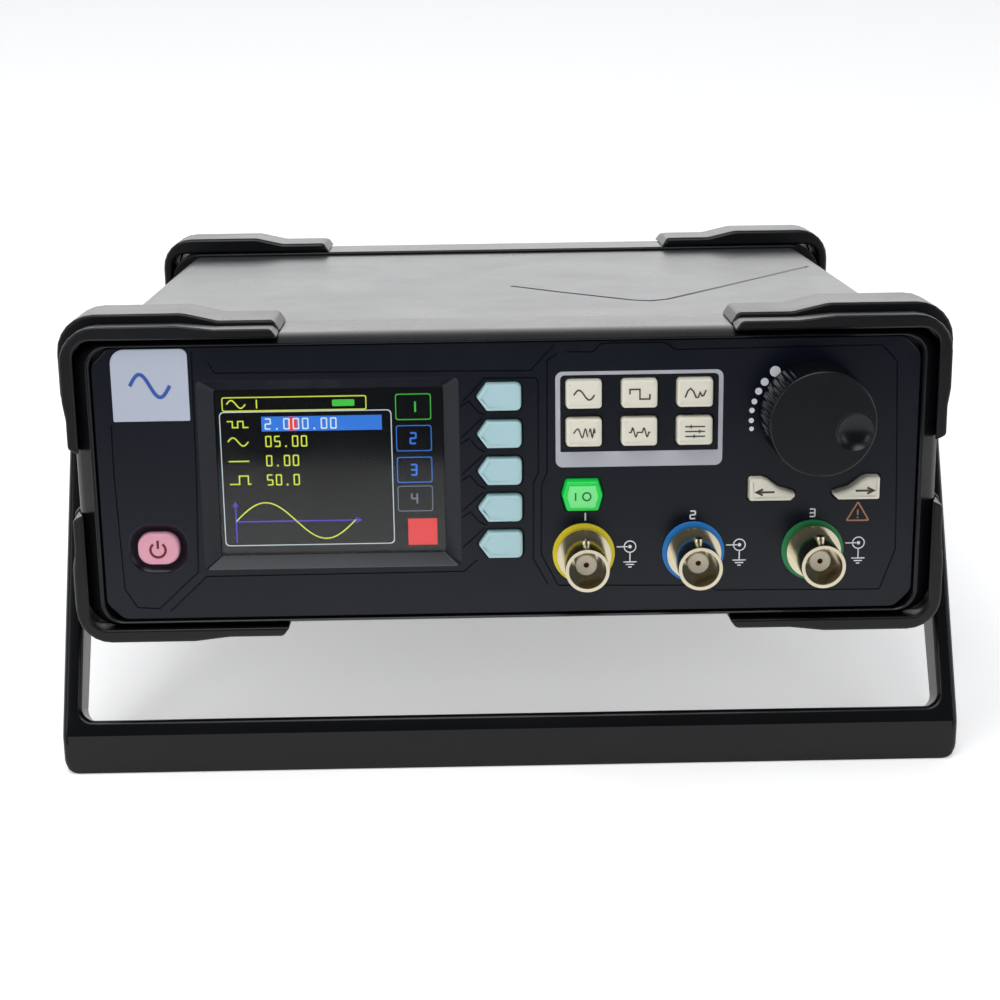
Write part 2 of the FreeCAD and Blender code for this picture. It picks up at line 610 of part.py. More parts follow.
def switches():
    """The push switches, each with the well its key's stem works in."""
    bodies = []
    for name, outline_of, x, z, height in KEYS:
        case = box(name + "_switch_case", f"{x} - switch_size / 2", f"{x} + switch_size / 2",
                   "switch_front", "board_face", f"{z} - switch_size / 2",
                   f"{z} + switch_size / 2")
        well = rod(name + "_switch_well", "Y", "stem_radius + well_clearance", "well_depth",
                   x, "switch_front", z)
        bodies.append(cut(name + "_switch", case, well))
    finish(group("key_switches", bodies), "key_switches")


def front_board():
    """The control board behind the keys, and the small one behind the power key."""
    grow = "front_board_margin"
    main = box("front_board_plate", "front_board_left", f"panel_half_width - {grow}",
               "board_face", "board_face + front_board_thickness",
               f"{grow} - panel_half_height", f"panel_half_height - {grow}")
    for name, x in BNC_PLACES:
        hole = rod(f"front_board_{name}_hole", "Y", "bnc_nut_across / 2 + 1.5",
                   "front_board_thickness", x, "board_face", "bnc_z")
        main = cut(f"front_board_{name}", main, hole)
    small = box("power_board_plate", "power_x - power_board_width / 2",
                "power_x + power_board_width / 2", "board_face",
                "board_face + front_board_thickness", "power_z - power_board_height / 2",
                "power_z + power_board_height / 2")
    finish(group("front_boards", [main, small]), "front_boards")


# ---- knob -----------------------------------------------------------------------------------

def knob_set():
    """A dimpled knob on the shaft of a rotary encoder that is nutted to the panel."""
    turned = revolve("knob", [("0", "-knob_front"), ("knob_radius - 0.8", "-knob_front"),
                              ("knob_radius", "0.8 - knob_front"), ("knob_radius", "-knob_gap"),
                              ("knob_skirt", "-knob_gap"), ("knob_skirt", "-bushing_stand - 1"),
                              ("0", "-bushing_stand - 1")])
    dimple = doc.addObject("Part::Sphere", "knob_dimple")
    slant = math.radians(14.5)
    bind(dimple, Radius="dimple_radius", Placement__Base__y="dimple_depth - dimple_radius - knob_front",
         Placement__Base__x=f"dimple_offset * {math.cos(slant):.4f}",
         Placement__Base__z=f"-dimple_offset * {math.sin(slant):.4f}")
    hollow = rod("knob_shaft_hole", "Y", "shaft_radius", "shaft_in_knob", "0",
                 "-bushing_stand - 1 - shaft_in_knob", "0")
    shaped = cut("knob_bored", cut("knob_dimpled", turned, dimple), hollow)
    finish(shaped, "knob", x=size("knob_x"), z=size("knob_z"))
    shaft = rod("encoder_shaft_rod", "Y", "shaft_radius",
                "shaft_in_knob + bushing_stand + 1 + encoder_front + 3", "0",
                "-bushing_stand - 1 - shaft_in_knob", "0")
    finish(group("encoder_shaft", [shaft]), "encoder_shaft", x=size("knob_x"), z=size("knob_z"))
    case = box("encoder_case", "-encoder_size / 2", "encoder_size / 2", "encoder_front",
               "board_face", "-encoder_size / 2", "encoder_size / 2")
    bushing = rod("encoder_bushing", "Y", "bushing_radius", "bushing_stand + encoder_front", "0",
                  "-bushing_stand", "0")
    bore = rod("encoder_bore", "Y", "shaft_radius + shaft_clearance",
               "bushing_stand + encoder_front + 3.5", "0", "-bushing_stand", "0")
    encoder = cut("encoder_bored", join("encoder_solid", [case, bushing]), bore)
    finish(encoder, "encoder_body", x=size("knob_x"), z=size("knob_z"))
    hexagon = doc.addObject("Part::Prism", "encoder_nut_hexagon")
    hexagon.Polygon = 6
    hexagon.Placement.Rotation = FreeCAD.Rotation(Vector(1, 0, 0), -90)
    bind(hexagon, Circumradius="nut_across / 1.732", Height="nut_thickness",
         Placement__Base__y="-nut_thickness")
    thread = rod("encoder_nut_thread", "Y", "bushing_radius", "nut_thickness", "0",
                 "-nut_thickness", "0")
    finish(cut("encoder_nut", hexagon, thread), "encoder_nut", x=size("knob_x"), z=size("knob_z"))


# ---- BNC sockets ----------------------------------------------------------------------------

def bnc_shell(name, x):
    """A bulkhead BNC socket: bayonet barrel, flange on the panel, threaded neck and tail."""
    flange = "-ring_thickness"
    barrel = revolve(f"bnc_{name}", [
        ("bnc_bore", "-bnc_front"), ("bnc_radius", "-bnc_front"),
        ("bnc_radius", f"{flange} - bnc_flange"), ("bnc_flange_radius", f"{flange} - bnc_flange"),
        ("bnc_flange_radius", flange), ("bnc_thread_radius", flange),
        ("bnc_thread_radius", "bnc_back"), ("contact_radius + 1", "bnc_back"),
        ("contact_radius + 1", "bnc_floor - bnc_front"), ("bnc_bore", "bnc_floor - bnc_front")])
    lug = rod(f"bnc_{name}_lugs", "Z", "bnc_lug_radius", "2 * bnc_lug_reach", "0",
              "bnc_lug_back - bnc_front", "-bnc_lug_reach")
    bore = rod(f"bnc_{name}_clear", "Y", "bnc_bore", "bnc_floor", "0", "-bnc_front", "0")
    solid = join(f"bnc_shell_{name}", [barrel, cut(f"bnc_{name}_lug_pair", lug, bore)])
    finish(solid, f"bnc_shell_{name}", x=size(x), z=size("bnc_z"))


def ring(name, radius, hole, start, length, x="0", z="0"):
    disc = rod(name + "_disc", "Y", radius, length, x, start, z)
    opening = rod(name + "_hole", "Y", hole, length, x, start, z)
    return cut(name, disc, opening)


def bnc_fittings():
    """The coloured rings, insulators, centre contacts and nuts of the three sockets."""
    insulators, contacts, nuts = [], [], []
    for name, x in BNC_PLACES:
        finish(ring(f"bnc_ring_{name}", "ring_radius", "bnc_thread_radius + 0.1",
                    "-ring_thickness", "ring_thickness"),
               f"bnc_ring_{name}", x=size(x), z=size("bnc_z"))
        front = "bnc_insulator_back - bnc_front"
        insulators.append(ring(f"insulator_{name}", "bnc_insulator_radius", "contact_radius",
                               front, "bnc_floor - bnc_insulator_back", x, "bnc_z"))
        pin = rod(f"contact_{name}_rod", "Y", "contact_radius",
                  "bnc_back + bnc_front - contact_back + 2", x, "contact_back - bnc_front",
                  "bnc_z")
        socket = rod(f"contact_{name}_bore", "Y", "contact_bore", "contact_depth", x,
                     "contact_back - bnc_front", "bnc_z")
        contacts.append(cut(f"contact_{name}", pin, socket))
        hexagon = doc.addObject("Part::Prism", f"bnc_nut_{name}_hexagon")
        hexagon.Polygon = 6
        hexagon.Placement.Rotation = FreeCAD.Rotation(Vector(1, 0, 0), -90)
        bind(hexagon, Circumradius="bnc_nut_across / 1.732", Height="bnc_nut_thickness",
             Placement__Base__x=x, Placement__Base__y="panel_thickness",
             Placement__Base__z="bnc_z")
        thread = rod(f"bnc_nut_{name}_thread", "Y", "bnc_thread_radius", "bnc_nut_thickness", x,
                     "panel_thickness", "bnc_z")
        nuts.append(cut(f"bnc_nut_{name}", hexagon, thread))
    finish(group("bnc_insulators", insulators), "bnc_insulators")
    finish(group("bnc_contacts", contacts), "bnc_contacts")
    finish(group("bnc_nuts", nuts), "bnc_nuts")


# ---- handle ---------------------------------------------------------------------------------

def handle():
    """A moulded bail: two tapering arms and a crossbar whose toe stands on the bench."""
    owner = body("handle")
    arm = [("-arm_front", "0"), ("-arm_front", "-bar_top"), ("-bar_back", "-bar_top"),
           ("arm_back_top", "-arm_eye_radius"), ("arm_eye_radius", "0"),
           ("arm_eye_radius * 0.7071", "arm_eye_radius * 0.7071"), ("0", "arm_eye_radius"),
           ("-arm_eye_radius * 0.7071", "arm_eye_radius * 0.7071")]
    bar = [("-arm_front", "-bar_top"), ("-arm_front", "-bar_crease"),
           ("-bar_toe", "-bar_bottom"), ("-bar_back", "-bar_heel_drop"), ("-bar_back", "-bar_top")]
    beam = sketch_on(owner, "YZ_Plane", "-arm_outer")
    polygon(beam, bar)
    pad(owner, beam, "2 * arm_outer", "YZ_Plane")
    for start in ("-arm_outer", "arm_inner"):
        outline = sketch_on(owner, "YZ_Plane", start)
        polygon(outline, arm)
        pad(owner, outline, "arm_thickness", "YZ_Plane")
    for start, radius, length in (
            ("-arm_outer", "pin_radius + pin_clearance", "2 * arm_outer"),
            ("-arm_outer", "pin_head_radius + pin_head_clearance",
             "pin_head_thickness + pin_head_clearance"),
            ("arm_outer - pin_head_thickness - pin_head_clearance",
             "pin_head_radius + pin_head_clearance", "pin_head_thickness + pin_head_clearance")):
        hole = sketch_on(owner, "YZ_Plane", start)
        circle(hole, "0", "0", radius)
        pocket(owner, hole, length, "YZ_Plane")
    finish(owner, "handle_bail", y=size("pivot_y"), z=size("pivot_z"),
           turn_x=-size("handle_lean"))


def pivots():
    """Shoulder screws, the hubs that space the arms off the covers, and their anchor plates."""
    screws, hubs, plates = [], [], []
    root = "cover_half_width - cover_wall - bracket_thickness"
    for tag, sign in (("left", -1), ("right", 1)):
        def along(text):
            return f"-({text})" if sign < 0 else text
        def run(name, radius, near, far):
            start = along(far) if sign < 0 else near
            return rod(name, "X", radius, f"({far}) - ({near})", start, "pivot_y", "pivot_z")
        shank = run(f"pivot_{tag}_shank", "pin_radius", root, "arm_outer - pin_head_thickness")
        head = run(f"pivot_{tag}_head", "pin_head_radius", "arm_outer - pin_head_thickness",
                   "arm_outer")
        screws.append(join(f"pivot_{tag}_screw", [shank, head]))
        disc = run(f"pivot_{tag}_disc", "hub_radius", "cover_half_width", "arm_inner - hub_gap")
        hubs.append(cut(f"pivot_{tag}_hub", disc,
                        run(f"pivot_{tag}_hub_hole", "pin_radius", "cover_half_width",
                            "arm_inner - hub_gap")))
        near, far = root, "cover_half_width - cover_wall"
        low, high = (along(far), along(near)) if sign < 0 else (near, far)
        plate = box(f"pivot_{tag}_plate", low, high, "pivot_y - bracket_size / 2",
                    "pivot_y + bracket_size / 2", "pivot_z - bracket_size / 2",
                    "pivot_z + bracket_size / 2")
        plates.append(cut(f"pivot_{tag}_anchor", plate,
                          run(f"pivot_{tag}_plate_hole", "pin_radius", near, far)))
    finish(group("pivot_screws", screws), "pivot_screws")
    finish(group("pivot_hubs", hubs), "pivot_hubs")
    finish(group("pivot_anchors", plates), "pivot_anchors")


# ---- rear panel and boards ------------------------------------------------------------------

def rear_panel():
    """The rear plate, with vent slots and an opening for each socket."""
    owner = body("rear_panel")
    outline = octagon("panel_half_width", "panel_half_height", "rim_chamfer", "rim_chamfer")
    pad_between(owner, outline, "rear_panel_front", "rear_panel_back")
    holes = sketch_on(owner, "XZ_Plane", "rear_panel_front")
    for place in range(int(size("vent_count"))):
        polygon(holes, rectangle(f"vent_x + {place} * vent_pitch - vent_pitch * (vent_count - 1) / 2",
                                 "0", "vent_width", "vent_height"))
    for socket in ("jack", "usb"):
        middle = f"board_top + {socket}_height / 2"
        polygon(holes, rectangle(f"{socket}_x", middle, f"{socket}_width + 2 * socket_clearance",
                                 f"{socket}_height + 2 * socket_clearance"))
    at_screws(holes, "frame_screw_radius + frame_screw_clearance")
    pocket(owner, holes, "rear_panel_thickness")
    finish(owner, "rear_panel")


def rear_sockets():
    """The power jack and the square data socket, both flush with the rear panel."""
    back = "rear_panel_back"
    jack = box("jack_case", "jack_x - jack_width / 2", "jack_x + jack_width / 2",
               f"{back} - jack_length", back, "board_top", "board_top + jack_height")
    middle = "board_top + jack_height / 2"
    bore = ring("jack_space", "jack_bore", "jack_pin", f"{back} - jack_depth", "jack_depth",
                "jack_x", middle)
    tip = rod("jack_tip", "Y", "jack_pin", "jack_pin_back", "jack_x", f"{back} - jack_pin_back",
              middle)
    finish(cut("power_jack", cut("jack_bored", jack, bore), tip), "power_jack")
    shell = box("usb_case", "usb_x - usb_width / 2", "usb_x + usb_width / 2",
                f"{back} - usb_length", back, "board_top", "board_top + usb_height")
    centre = "board_top + usb_height / 2"
    def about(name, wide, tall, start, stop):
        return box(name, f"usb_x - {wide} / 2", f"usb_x + {wide} / 2", start, stop,
                   f"{centre} - {tall} / 2", f"{centre} + {tall} / 2")
    mouth = about("usb_mouth", "usb_mouth_width", "usb_mouth_height",
                  f"{back} - usb_mouth_depth", back)
    tongue = about("usb_tongue", "usb_tongue_width", "usb_tongue_height",
                   f"{back} - usb_mouth_depth", f"{back} - usb_tongue_back")
    finish(cut("data_socket", shell, cut("usb_space", mouth, tongue)), "data_socket")


def main_board():
    """The main board on its standoffs, with the signal section's shield and a heat sink."""
    under = "board_top - board_thickness"
    finish(group("main_board", [box("main_board_plate", "-board_half_width", "board_half_width",
                                    "board_front", "board_rear", under, "board_top")]),
           "main_board")
    posts, heads = [], []
    floor = "cover_wall - cover_half_height"
    for sx in (-1, 1):
        for tag, y in (("near", "board_front + standoff_inset"),
                       ("far", "board_rear - 4 * standoff_inset")):
            across = f"{sx} * (board_half_width - standoff_inset)"
            name = f"{'left' if sx < 0 else 'right'}_{tag}"
            posts.append(rod("standoff_" + name, "Z", "standoff_radius", f"{under} - ({floor})",
                             across, y, floor))
            heads.append(rod("board_screw_" + name, "Z", "screw_head_radius",
                             "screw_head_height", across, y, "board_top"))
    finish(group("standoffs", posts), "board_standoffs")
    finish(group("board_screws", heads), "board_screws")
    outer = box("shield_outer", "shield_x - shield_width / 2", "shield_x + shield_width / 2",
                "shield_y", "shield_y + shield_length", "board_top", "board_top + shield_height")
    inner = box("shield_inner", "shield_x - shield_width / 2 + shield_wall",
                "shield_x + shield_width / 2 - shield_wall", "shield_y + shield_wall",
                "shield_y + shield_length - shield_wall", "board_top",
                "board_top + shield_height - shield_wall")
    finish(cut("signal_shield", outer, inner), "signal_shield")
    fins = [box("sink_base_plate", "sink_x - sink_width / 2", "sink_x + sink_width / 2",
                "sink_y", "sink_y + sink_length", "board_top", "board_top + sink_base")]
    count = int(size("sink_fin_count"))
    for place in range(count):
        start = (f"sink_x - sink_width / 2 + {place} * (sink_width - sink_fin_width)"
                 " / (sink_fin_count - 1)")
        fins.append(box(f"sink_fin_{place}", start, f"{start} + sink_fin_width", "sink_y",
                        "sink_y + sink_length", "board_top + sink_base",
                        "board_top + sink_base + sink_fin_height"))
    finish(join("heat_sink", fins), "heat_sink")


def ribbon():
    """The flat cable from the control board down to the main board."""
    back = "board_face + front_board_thickness"
    across = ("ribbon_x - ribbon_width / 2", "ribbon_x + ribbon_width / 2")
    low = "board_top"
    near = f"{back} + 14"
    run = box("ribbon_run", *across, back, f"{near} + ribbon_thickness",
              f"{low} + ribbon_rise", f"{low} + ribbon_rise + ribbon_thickness")
    drop = box("ribbon_drop", *across, near, f"{near} + ribbon_thickness", f"{low} + 4",
               f"{low} + ribbon_rise")
    foot = box("ribbon_foot", *across, near, "board_front + 6", f"{low} + 4",
               f"{low} + 4 + ribbon_thickness")
    plug = box("ribbon_plug", *across, "board_front + 1", "board_front + 6", low, f"{low} + 4")
    finish(join("ribbon_cable", [run, drop, foot, plug]), "ribbon_cable")


# ---- build ----------------------------------------------------------------------------------

def build():
    for end in ("front", "rear"):
        end_frame(end)
        for level in ("upper", "lower"):
            for side in ("left", "right"):
                corner_bumper(end, level, side)
    for level in ("upper", "lower"):
        cover(level)
    long_screws()
    front_panel()
    display()
    for entry in KEYS:
        key(*entry)
    switches()
    front_board()
    knob_set()
    for name, x in BNC_PLACES:
        bnc_shell(name, x)
    bnc_fittings()
    handle()
    pivots()
    rear_panel()
    rear_sockets()
    main_board()
    ribbon()


def check():
    """Stops on any feature that failed, any shape that is not sound, or a cut that took nothing."""
    for item in doc.Objects:
        bad = {"Invalid", "Error"} & set(item.State)
        if bad:
            raise RuntimeError(f"{item.Name} ({item.Label}) is {bad}")
    for feature, before in CUTS:
        if feature.Shape.Volume >= before.Shape.Volume - 1e-6:
            raise RuntimeError(f"{feature.Name} cut nothing from {before.Label}")
    for item, _, _ in NODES:
        if item.Shape.isNull() or not item.Shape.isValid():
            raise RuntimeError(f"{item.Label} has no sound shape")


def place_all():
    """Sets every sub-part in the stance, its origin under the middle of the whole, on the bench."""
    bounds = FreeCAD.BoundBox()
    for item, base, turn_x in NODES:
        own = FreeCAD.Placement(base, FreeCAD.Rotation(Vector(1, 0, 0), turn_x))
        item.Placement = STANCE.multiply(own)
        bounds.add(item.Shape.BoundBox)
    shift = FreeCAD.Placement(Vector(0, -bounds.Center.y, -bounds.ZMin), FreeCAD.Rotation())
    for item, _, _ in NODES:
        item.Placement = shift.multiply(item.Placement)
    return shift


def write_all():
    os.makedirs("parts", exist_ok=True)
    for item, _, _ in NODES:
        item.Shape.exportStep(os.path.join("parts", item.Label + ".step"))
    print(len(NODES), "sub-parts written")


build()
doc.recompute()
SHIFT = place_all()
check()
write_all()
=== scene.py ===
import bmesh
import bpy
import math
from mathutils import Matrix, Vector
from mathutils.geometry import tessellate_polygon


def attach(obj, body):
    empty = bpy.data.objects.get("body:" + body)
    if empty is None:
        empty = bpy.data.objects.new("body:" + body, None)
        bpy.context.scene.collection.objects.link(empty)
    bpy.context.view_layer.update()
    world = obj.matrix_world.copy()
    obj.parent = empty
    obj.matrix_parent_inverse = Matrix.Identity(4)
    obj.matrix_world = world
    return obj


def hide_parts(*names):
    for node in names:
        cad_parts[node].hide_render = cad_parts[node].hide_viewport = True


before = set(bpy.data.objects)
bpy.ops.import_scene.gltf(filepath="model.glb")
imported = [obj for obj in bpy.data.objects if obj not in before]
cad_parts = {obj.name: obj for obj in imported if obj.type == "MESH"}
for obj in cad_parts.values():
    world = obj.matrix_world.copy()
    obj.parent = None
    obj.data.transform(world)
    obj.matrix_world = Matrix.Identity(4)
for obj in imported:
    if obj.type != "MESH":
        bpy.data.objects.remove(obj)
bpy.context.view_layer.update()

# ---- camera, floor and light ------------------------------------------------------------------
# The instrument stands on a plain white bench and is seen from just above the level of its top,
# a little left of its middle. Soft white light comes from overhead and from behind.

CAMERA_AT = (-0.00750, -0.45545, 0.24250)
CAMERA_RIGHT = Vector((0.99983, -0.01443, -0.01202))
CAMERA_UP = Vector((0.01705, 0.42858, 0.90335))

optics = bpy.data.cameras.new("camera")
optics.lens = 66.23
optics.sensor_width = 36.0
optics.shift_x = 0.0105
optics.clip_start = 0.01
camera = bpy.data.objects.new("camera", optics)
facing = Matrix((CAMERA_RIGHT, CAMERA_UP, CAMERA_RIGHT.cross(CAMERA_UP))).transposed()
camera.matrix_world = Matrix.Translation(CAMERA_AT) @ facing.to_4x4()
bpy.context.scene.collection.objects.link(camera)
bpy.context.scene.camera = camera
bpy.context.scene.view_settings.view_transform = "Standard"


def linear(red, green, blue):
    """A colour given as it shows on a screen, 0 to 255, in linear light."""
    return tuple(((c / 255 + 0.055) / 1.055) ** 2.4 if c > 10 else c / 3295
                 for c in (red, green, blue)) + (1.0,)


def put(tree, kind, at=(0, 0), **values):
    """A new shader node; each value goes to the socket of that name, spaces written as _."""
    node = tree.nodes.new(kind)
    node.location = at
    for name, value in values.items():
        node.inputs[name.replace("_", " ")].default_value = value
    return node


def mixed_colour(tree, factor, first, second):
    """A colour between first and second, by the factor socket."""
    mix = tree.nodes.new("ShaderNodeMix")
    mix.data_type = "RGBA"
    mix.inputs["A"].default_value = first
    mix.inputs["B"].default_value = second
    tree.links.new(factor, mix.inputs["Factor"])
    return mix.outputs["Result"]


def spread(tree, socket, low, high):
    """The socket's middle range stretched from low to high."""
    band = tree.nodes.new("ShaderNodeMapRange")
    band.interpolation_type = "SMOOTHSTEP"
    band.inputs["From Min"].default_value = 0.2
    band.inputs["From Max"].default_value = 0.8
    band.inputs["To Min"].default_value = low
    band.inputs["To Max"].default_value = high
    tree.links.new(socket, band.inputs["Value"])
    return band.outputs["Result"]


def surface(name, colour, rough, grain=0.02, vary=0.15, metallic=0.0, coat=0.0,
            grain_size=0.0005, glow=0.0, specular=0.5):
    """A moulded or turned surface: slow drift of tone and gloss, and a fine grain in relief."""
    made = bpy.data.materials.new(name)
    made.use_nodes = True
    tree = made.node_tree
    shader = tree.nodes["Principled BSDF"]
    spot = put(tree, "ShaderNodeTexCoord", (-1100, 0))
    clouds = put(tree, "ShaderNodeTexNoise", (-850, 150), Scale=38.0, Detail=4.0, Roughness=0.6)
    fine = put(tree, "ShaderNodeTexNoise", (-850, -150), Scale=1 / grain_size, Detail=2.0,
               Roughness=0.5)
    tree.links.new(spot.outputs["Object"], clouds.inputs["Vector"])
    tree.links.new(spot.outputs["Object"], fine.inputs["Vector"])
    base = linear(*colour)
    dark = tuple(c * (1 - vary) for c in base[:3]) + (1.0,)
    light = tuple(min(1.0, c * (1 + vary)) for c in base[:3]) + (1.0,)
    tone = mixed_colour(tree, clouds.outputs["Fac"], dark, light)
    tree.links.new(tone, shader.inputs["Base Color"])
    gloss = spread(tree, clouds.outputs["Fac"], max(0.02, rough * 0.88), min(1.0, rough * 1.12))
    tree.links.new(gloss, shader.inputs["Roughness"])
    bump = put(tree, "ShaderNodeBump", (-250, -250), Strength=grain, Distance=0.0002)
    tree.links.new(fine.outputs["Fac"], bump.inputs["Height"])
    tree.links.new(bump.outputs["Normal"], shader.inputs["Normal"])
    shader.inputs["Metallic"].default_value = metallic
    shader.inputs["Coat Weight"].default_value = coat
    shader.inputs["Coat Roughness"].default_value = 0.12
    shader.inputs["Specular IOR Level"].default_value = specular
    if glow:
        tree.links.new(tone, shader.inputs["Emission Color"])
        shader.inputs["Emission Strength"].default_value = glow
    return made


def lamp(name, at, aim, width, height, power):
    """A rectangular soft light at a point, turned towards another."""
    data = bpy.data.lights.new(name, "AREA")
    data.shape = "RECTANGLE"
    data.size = width
    data.size_y = height
    data.energy = power
    thing = bpy.data.objects.new(name, data)
    thing.location = at
    thing.rotation_euler = (Vector(aim) - Vector(at)).to_track_quat("-Z", "Y").to_euler()
    bpy.context.scene.collection.objects.link(thing)


FLOOR_REACH, FLOOR_FRONT, FLOOR_LEVEL = 6.0, -2.0, -0.0002
plane = bmesh.new()
corners = [plane.verts.new((x * FLOOR_REACH, y, FLOOR_LEVEL))
           for x, y in ((-1, FLOOR_FRONT), (1, FLOOR_FRONT), (1, FLOOR_REACH), (-1, FLOOR_REACH))]
plane.faces.new(corners)
floor_mesh = bpy.data.meshes.new("floor")
plane.to_mesh(floor_mesh)
plane.free()
floor = bpy.data.objects.new("floor", floor_mesh)
floor.data.materials.append(surface("white_bench", (250, 250, 250), 0.75, vary=0.01,
                                    grain=0.0, glow=0.42))
bpy.context.scene.collection.objects.link(floor)

world = bpy.data.worlds.new("studio")
bpy.context.scene.world = world
world.use_nodes = True
sky = world.node_tree
sky_shader = sky.nodes["Background"]
way = put(sky, "ShaderNodeTexCoord")
apart = put(sky, "ShaderNodeSeparateXYZ")
sky.links.new(way.outputs["Generated"], apart.inputs["Vector"])
behind = put(sky, "ShaderNodeMapRange", From_Min=-0.6, From_Max=0.3, To_Min=0.0, To_Max=1.0)
sky.links.new(apart.outputs["Y"], behind.inputs["Value"])
low_down = put(sky, "ShaderNodeMapRange", From_Min=0.26, From_Max=0.5, To_Min=1.0, To_Max=0.1)
sky.links.new(apart.outputs["Z"], low_down.inputs["Value"])
backdrop = put(sky, "ShaderNodeMath")
backdrop.operation = "MULTIPLY"
sky.links.new(behind.outputs["Result"], backdrop.inputs[0])
sky.links.new(low_down.outputs["Result"], backdrop.inputs[1])
lit = mixed_colour(sky, backdrop.outputs["Value"], (0.04, 0.043, 0.05, 1.0), (1.0, 1.0, 1.0, 1.0))
sky.links.new(lit, sky_shader.inputs["Color"])
sky_shader.inputs["Strength"].default_value = 2.3
plain = put(sky, "ShaderNodeBackground", Color=(1.0, 1.0, 1.0, 1.0), Strength=1.0)
eye = put(sky, "ShaderNodeLightPath")
seen = put(sky, "ShaderNodeMixShader")
sky.links.new(eye.outputs["Is Camera Ray"], seen.inputs[0])
sky.links.new(sky_shader.outputs[0], seen.inputs[1])
sky.links.new(plain.outputs[0], seen.inputs[2])
sky.links.new(seen.outputs[0], sky.nodes["World Output"].inputs["Surface"])

lamp("overhead", (-0.15, -0.25, 0.95), (0, -0.05, 0.05), 0.9, 0.5, 5.0)
lamp("front_left", (-0.75, -0.85, 0.60), (0, -0.05, 0.06), 0.35, 0.6, 1.7)
lamp("front_right", (0.85, -0.75, 0.45), (0, -0.05, 0.06), 0.3, 0.5, 1.0)

# ---- case: frames, corner bumpers, covers -----------------------------------------------------
# Two moulded frames close a black sleeve made of two covers. Soft corner bumpers wrap each
# frame's corners, with a thin lip and a groove in front of a tall band.

frame_black = surface("frame_black", (14, 15, 18), 0.26, grain=0.04, specular=0.32)
bumper_black = surface("bumper_black", (13, 14, 16), 0.32, grain=0.06, grain_size=0.0004,
                       specular=0.34)
cover_black = surface("cover_black", (60, 62, 65), 0.3, grain=0.1, grain_size=0.0006)

CASE_DEPTH, FRAME_DEPTH, SPIGOT_END = 175.0, 21.0, 27.0
PANEL_SEAT = {"front": 3.0, "rear": 4.0}
THICK_X, THICK_Z, TAIL_X, TAIL_Z = 100.0, 38.0, 98.5, 36.2
LEG_X = (71.7, 63.8, 50.0)
LEG_Z = {"upper": (19.6, 15.6, 7.8), "lower": (20.6, 13.7, 6.0)}

# Each piece is drawn in millimetres with the case level: x right, y back from the panel's face, z
# up from mid-height. The stance leans it back as the instrument stands on its handle.
STANCE = (Matrix.Translation((0, -0.0811018, 0.0697168))
          @ Matrix.Rotation(math.radians(-10.985), 4, "X") @ Matrix.Scale(0.001, 4))


def area_of(outline):
    """The area inside an outline, above zero when it runs anticlockwise."""
    return sum(a[0] * b[1] - b[0] * a[1] for a, b in zip(outline, outline[1:] + outline[:1])) / 2


def soft(points, radius, steps=5):
    """The outline with its corners turned into arcs, in anticlockwise order; the radius is one
    number or one for each corner."""
    radii = list(radius) if isinstance(radius, (list, tuple)) else [radius] * len(points)
    if area_of(points) < 0:
        points, radii = points[::-1], radii[::-1]
    result = []
    for i, r in enumerate(radii):
        here = Vector(points[i])
        back = Vector(points[i - 1]) - here
        on = Vector(points[(i + 1) % len(points)]) - here
        if r <= 0:
            result.append(tuple(here))
            continue
        half = back.angle(on) / 2
        reach = min(r / math.tan(half), back.length * 0.49, on.length * 0.49)
        r = reach * math.tan(half)
        centre = here + (back.normalized() + on.normalized()).normalized() * r / math.sin(half)
        start = here + back.normalized() * reach - centre
        stop = here + on.normalized() * reach - centre
        turn = start.angle_signed(stop)
        for k in range(steps + 1):
            swung = start.copy()
            swung.rotate(Matrix.Rotation(-turn * k / steps, 2))
            result.append(tuple(centre + swung))
    return result


def grown(outline, by):
    """The outline moved outwards by a distance, each corner along its mitre."""
    moved = []
    for i, p in enumerate(outline):
        before = (Vector(p) - Vector(outline[i - 1])).normalized()
        after = (Vector(outline[(i + 1) % len(outline)]) - Vector(p)).normalized()
        normal = Vector((before.y + after.y, -before.x - after.x))
        scale = max(0.35, normal.length_squared / 2)
        moved.append(tuple(Vector(p) + normal * by / scale))
    return moved


def oblong(x, z, width, height, radius=0.0, steps=5):
    """A rectangle about a point with rounded corners."""
    return soft([(x + sx * width / 2, z + sz * height / 2)
                 for sx, sz in ((-1, -1), (1, -1), (1, 1), (-1, 1))], radius, steps)


def add_rows(mesh, rows, closed=False):
    """Skins the mesh between rows of equal length, each an outline and a depth."""
    rings = [[mesh.verts.new((p[0], depth, p[1])) for p in outline] for outline, depth in rows]
    pairs = list(zip(rings, rings[1:])) + ([(rings[-1], rings[0])] if closed else [])
    for near, far in pairs:
        for i in range(len(near)):
            j = (i + 1) % len(near)
            mesh.faces.new((near[i], near[j], far[j], far[i]))
    return rings


def add_cap(mesh, outer, holes=(), axes=(0, 2)):
    """Fills between an outer ring of vertices and any holes in it, seen along the third axis."""
    across, up = axes
    loops = [[Vector((v.co[across], v.co[up], 0)) for v in ring] for ring in (outer, *holes)]
    flat = [v for ring in (outer, *holes) for v in ring]
    for triangle in tessellate_polygon(loops):
        mesh.faces.new([flat[i] for i in triangle])


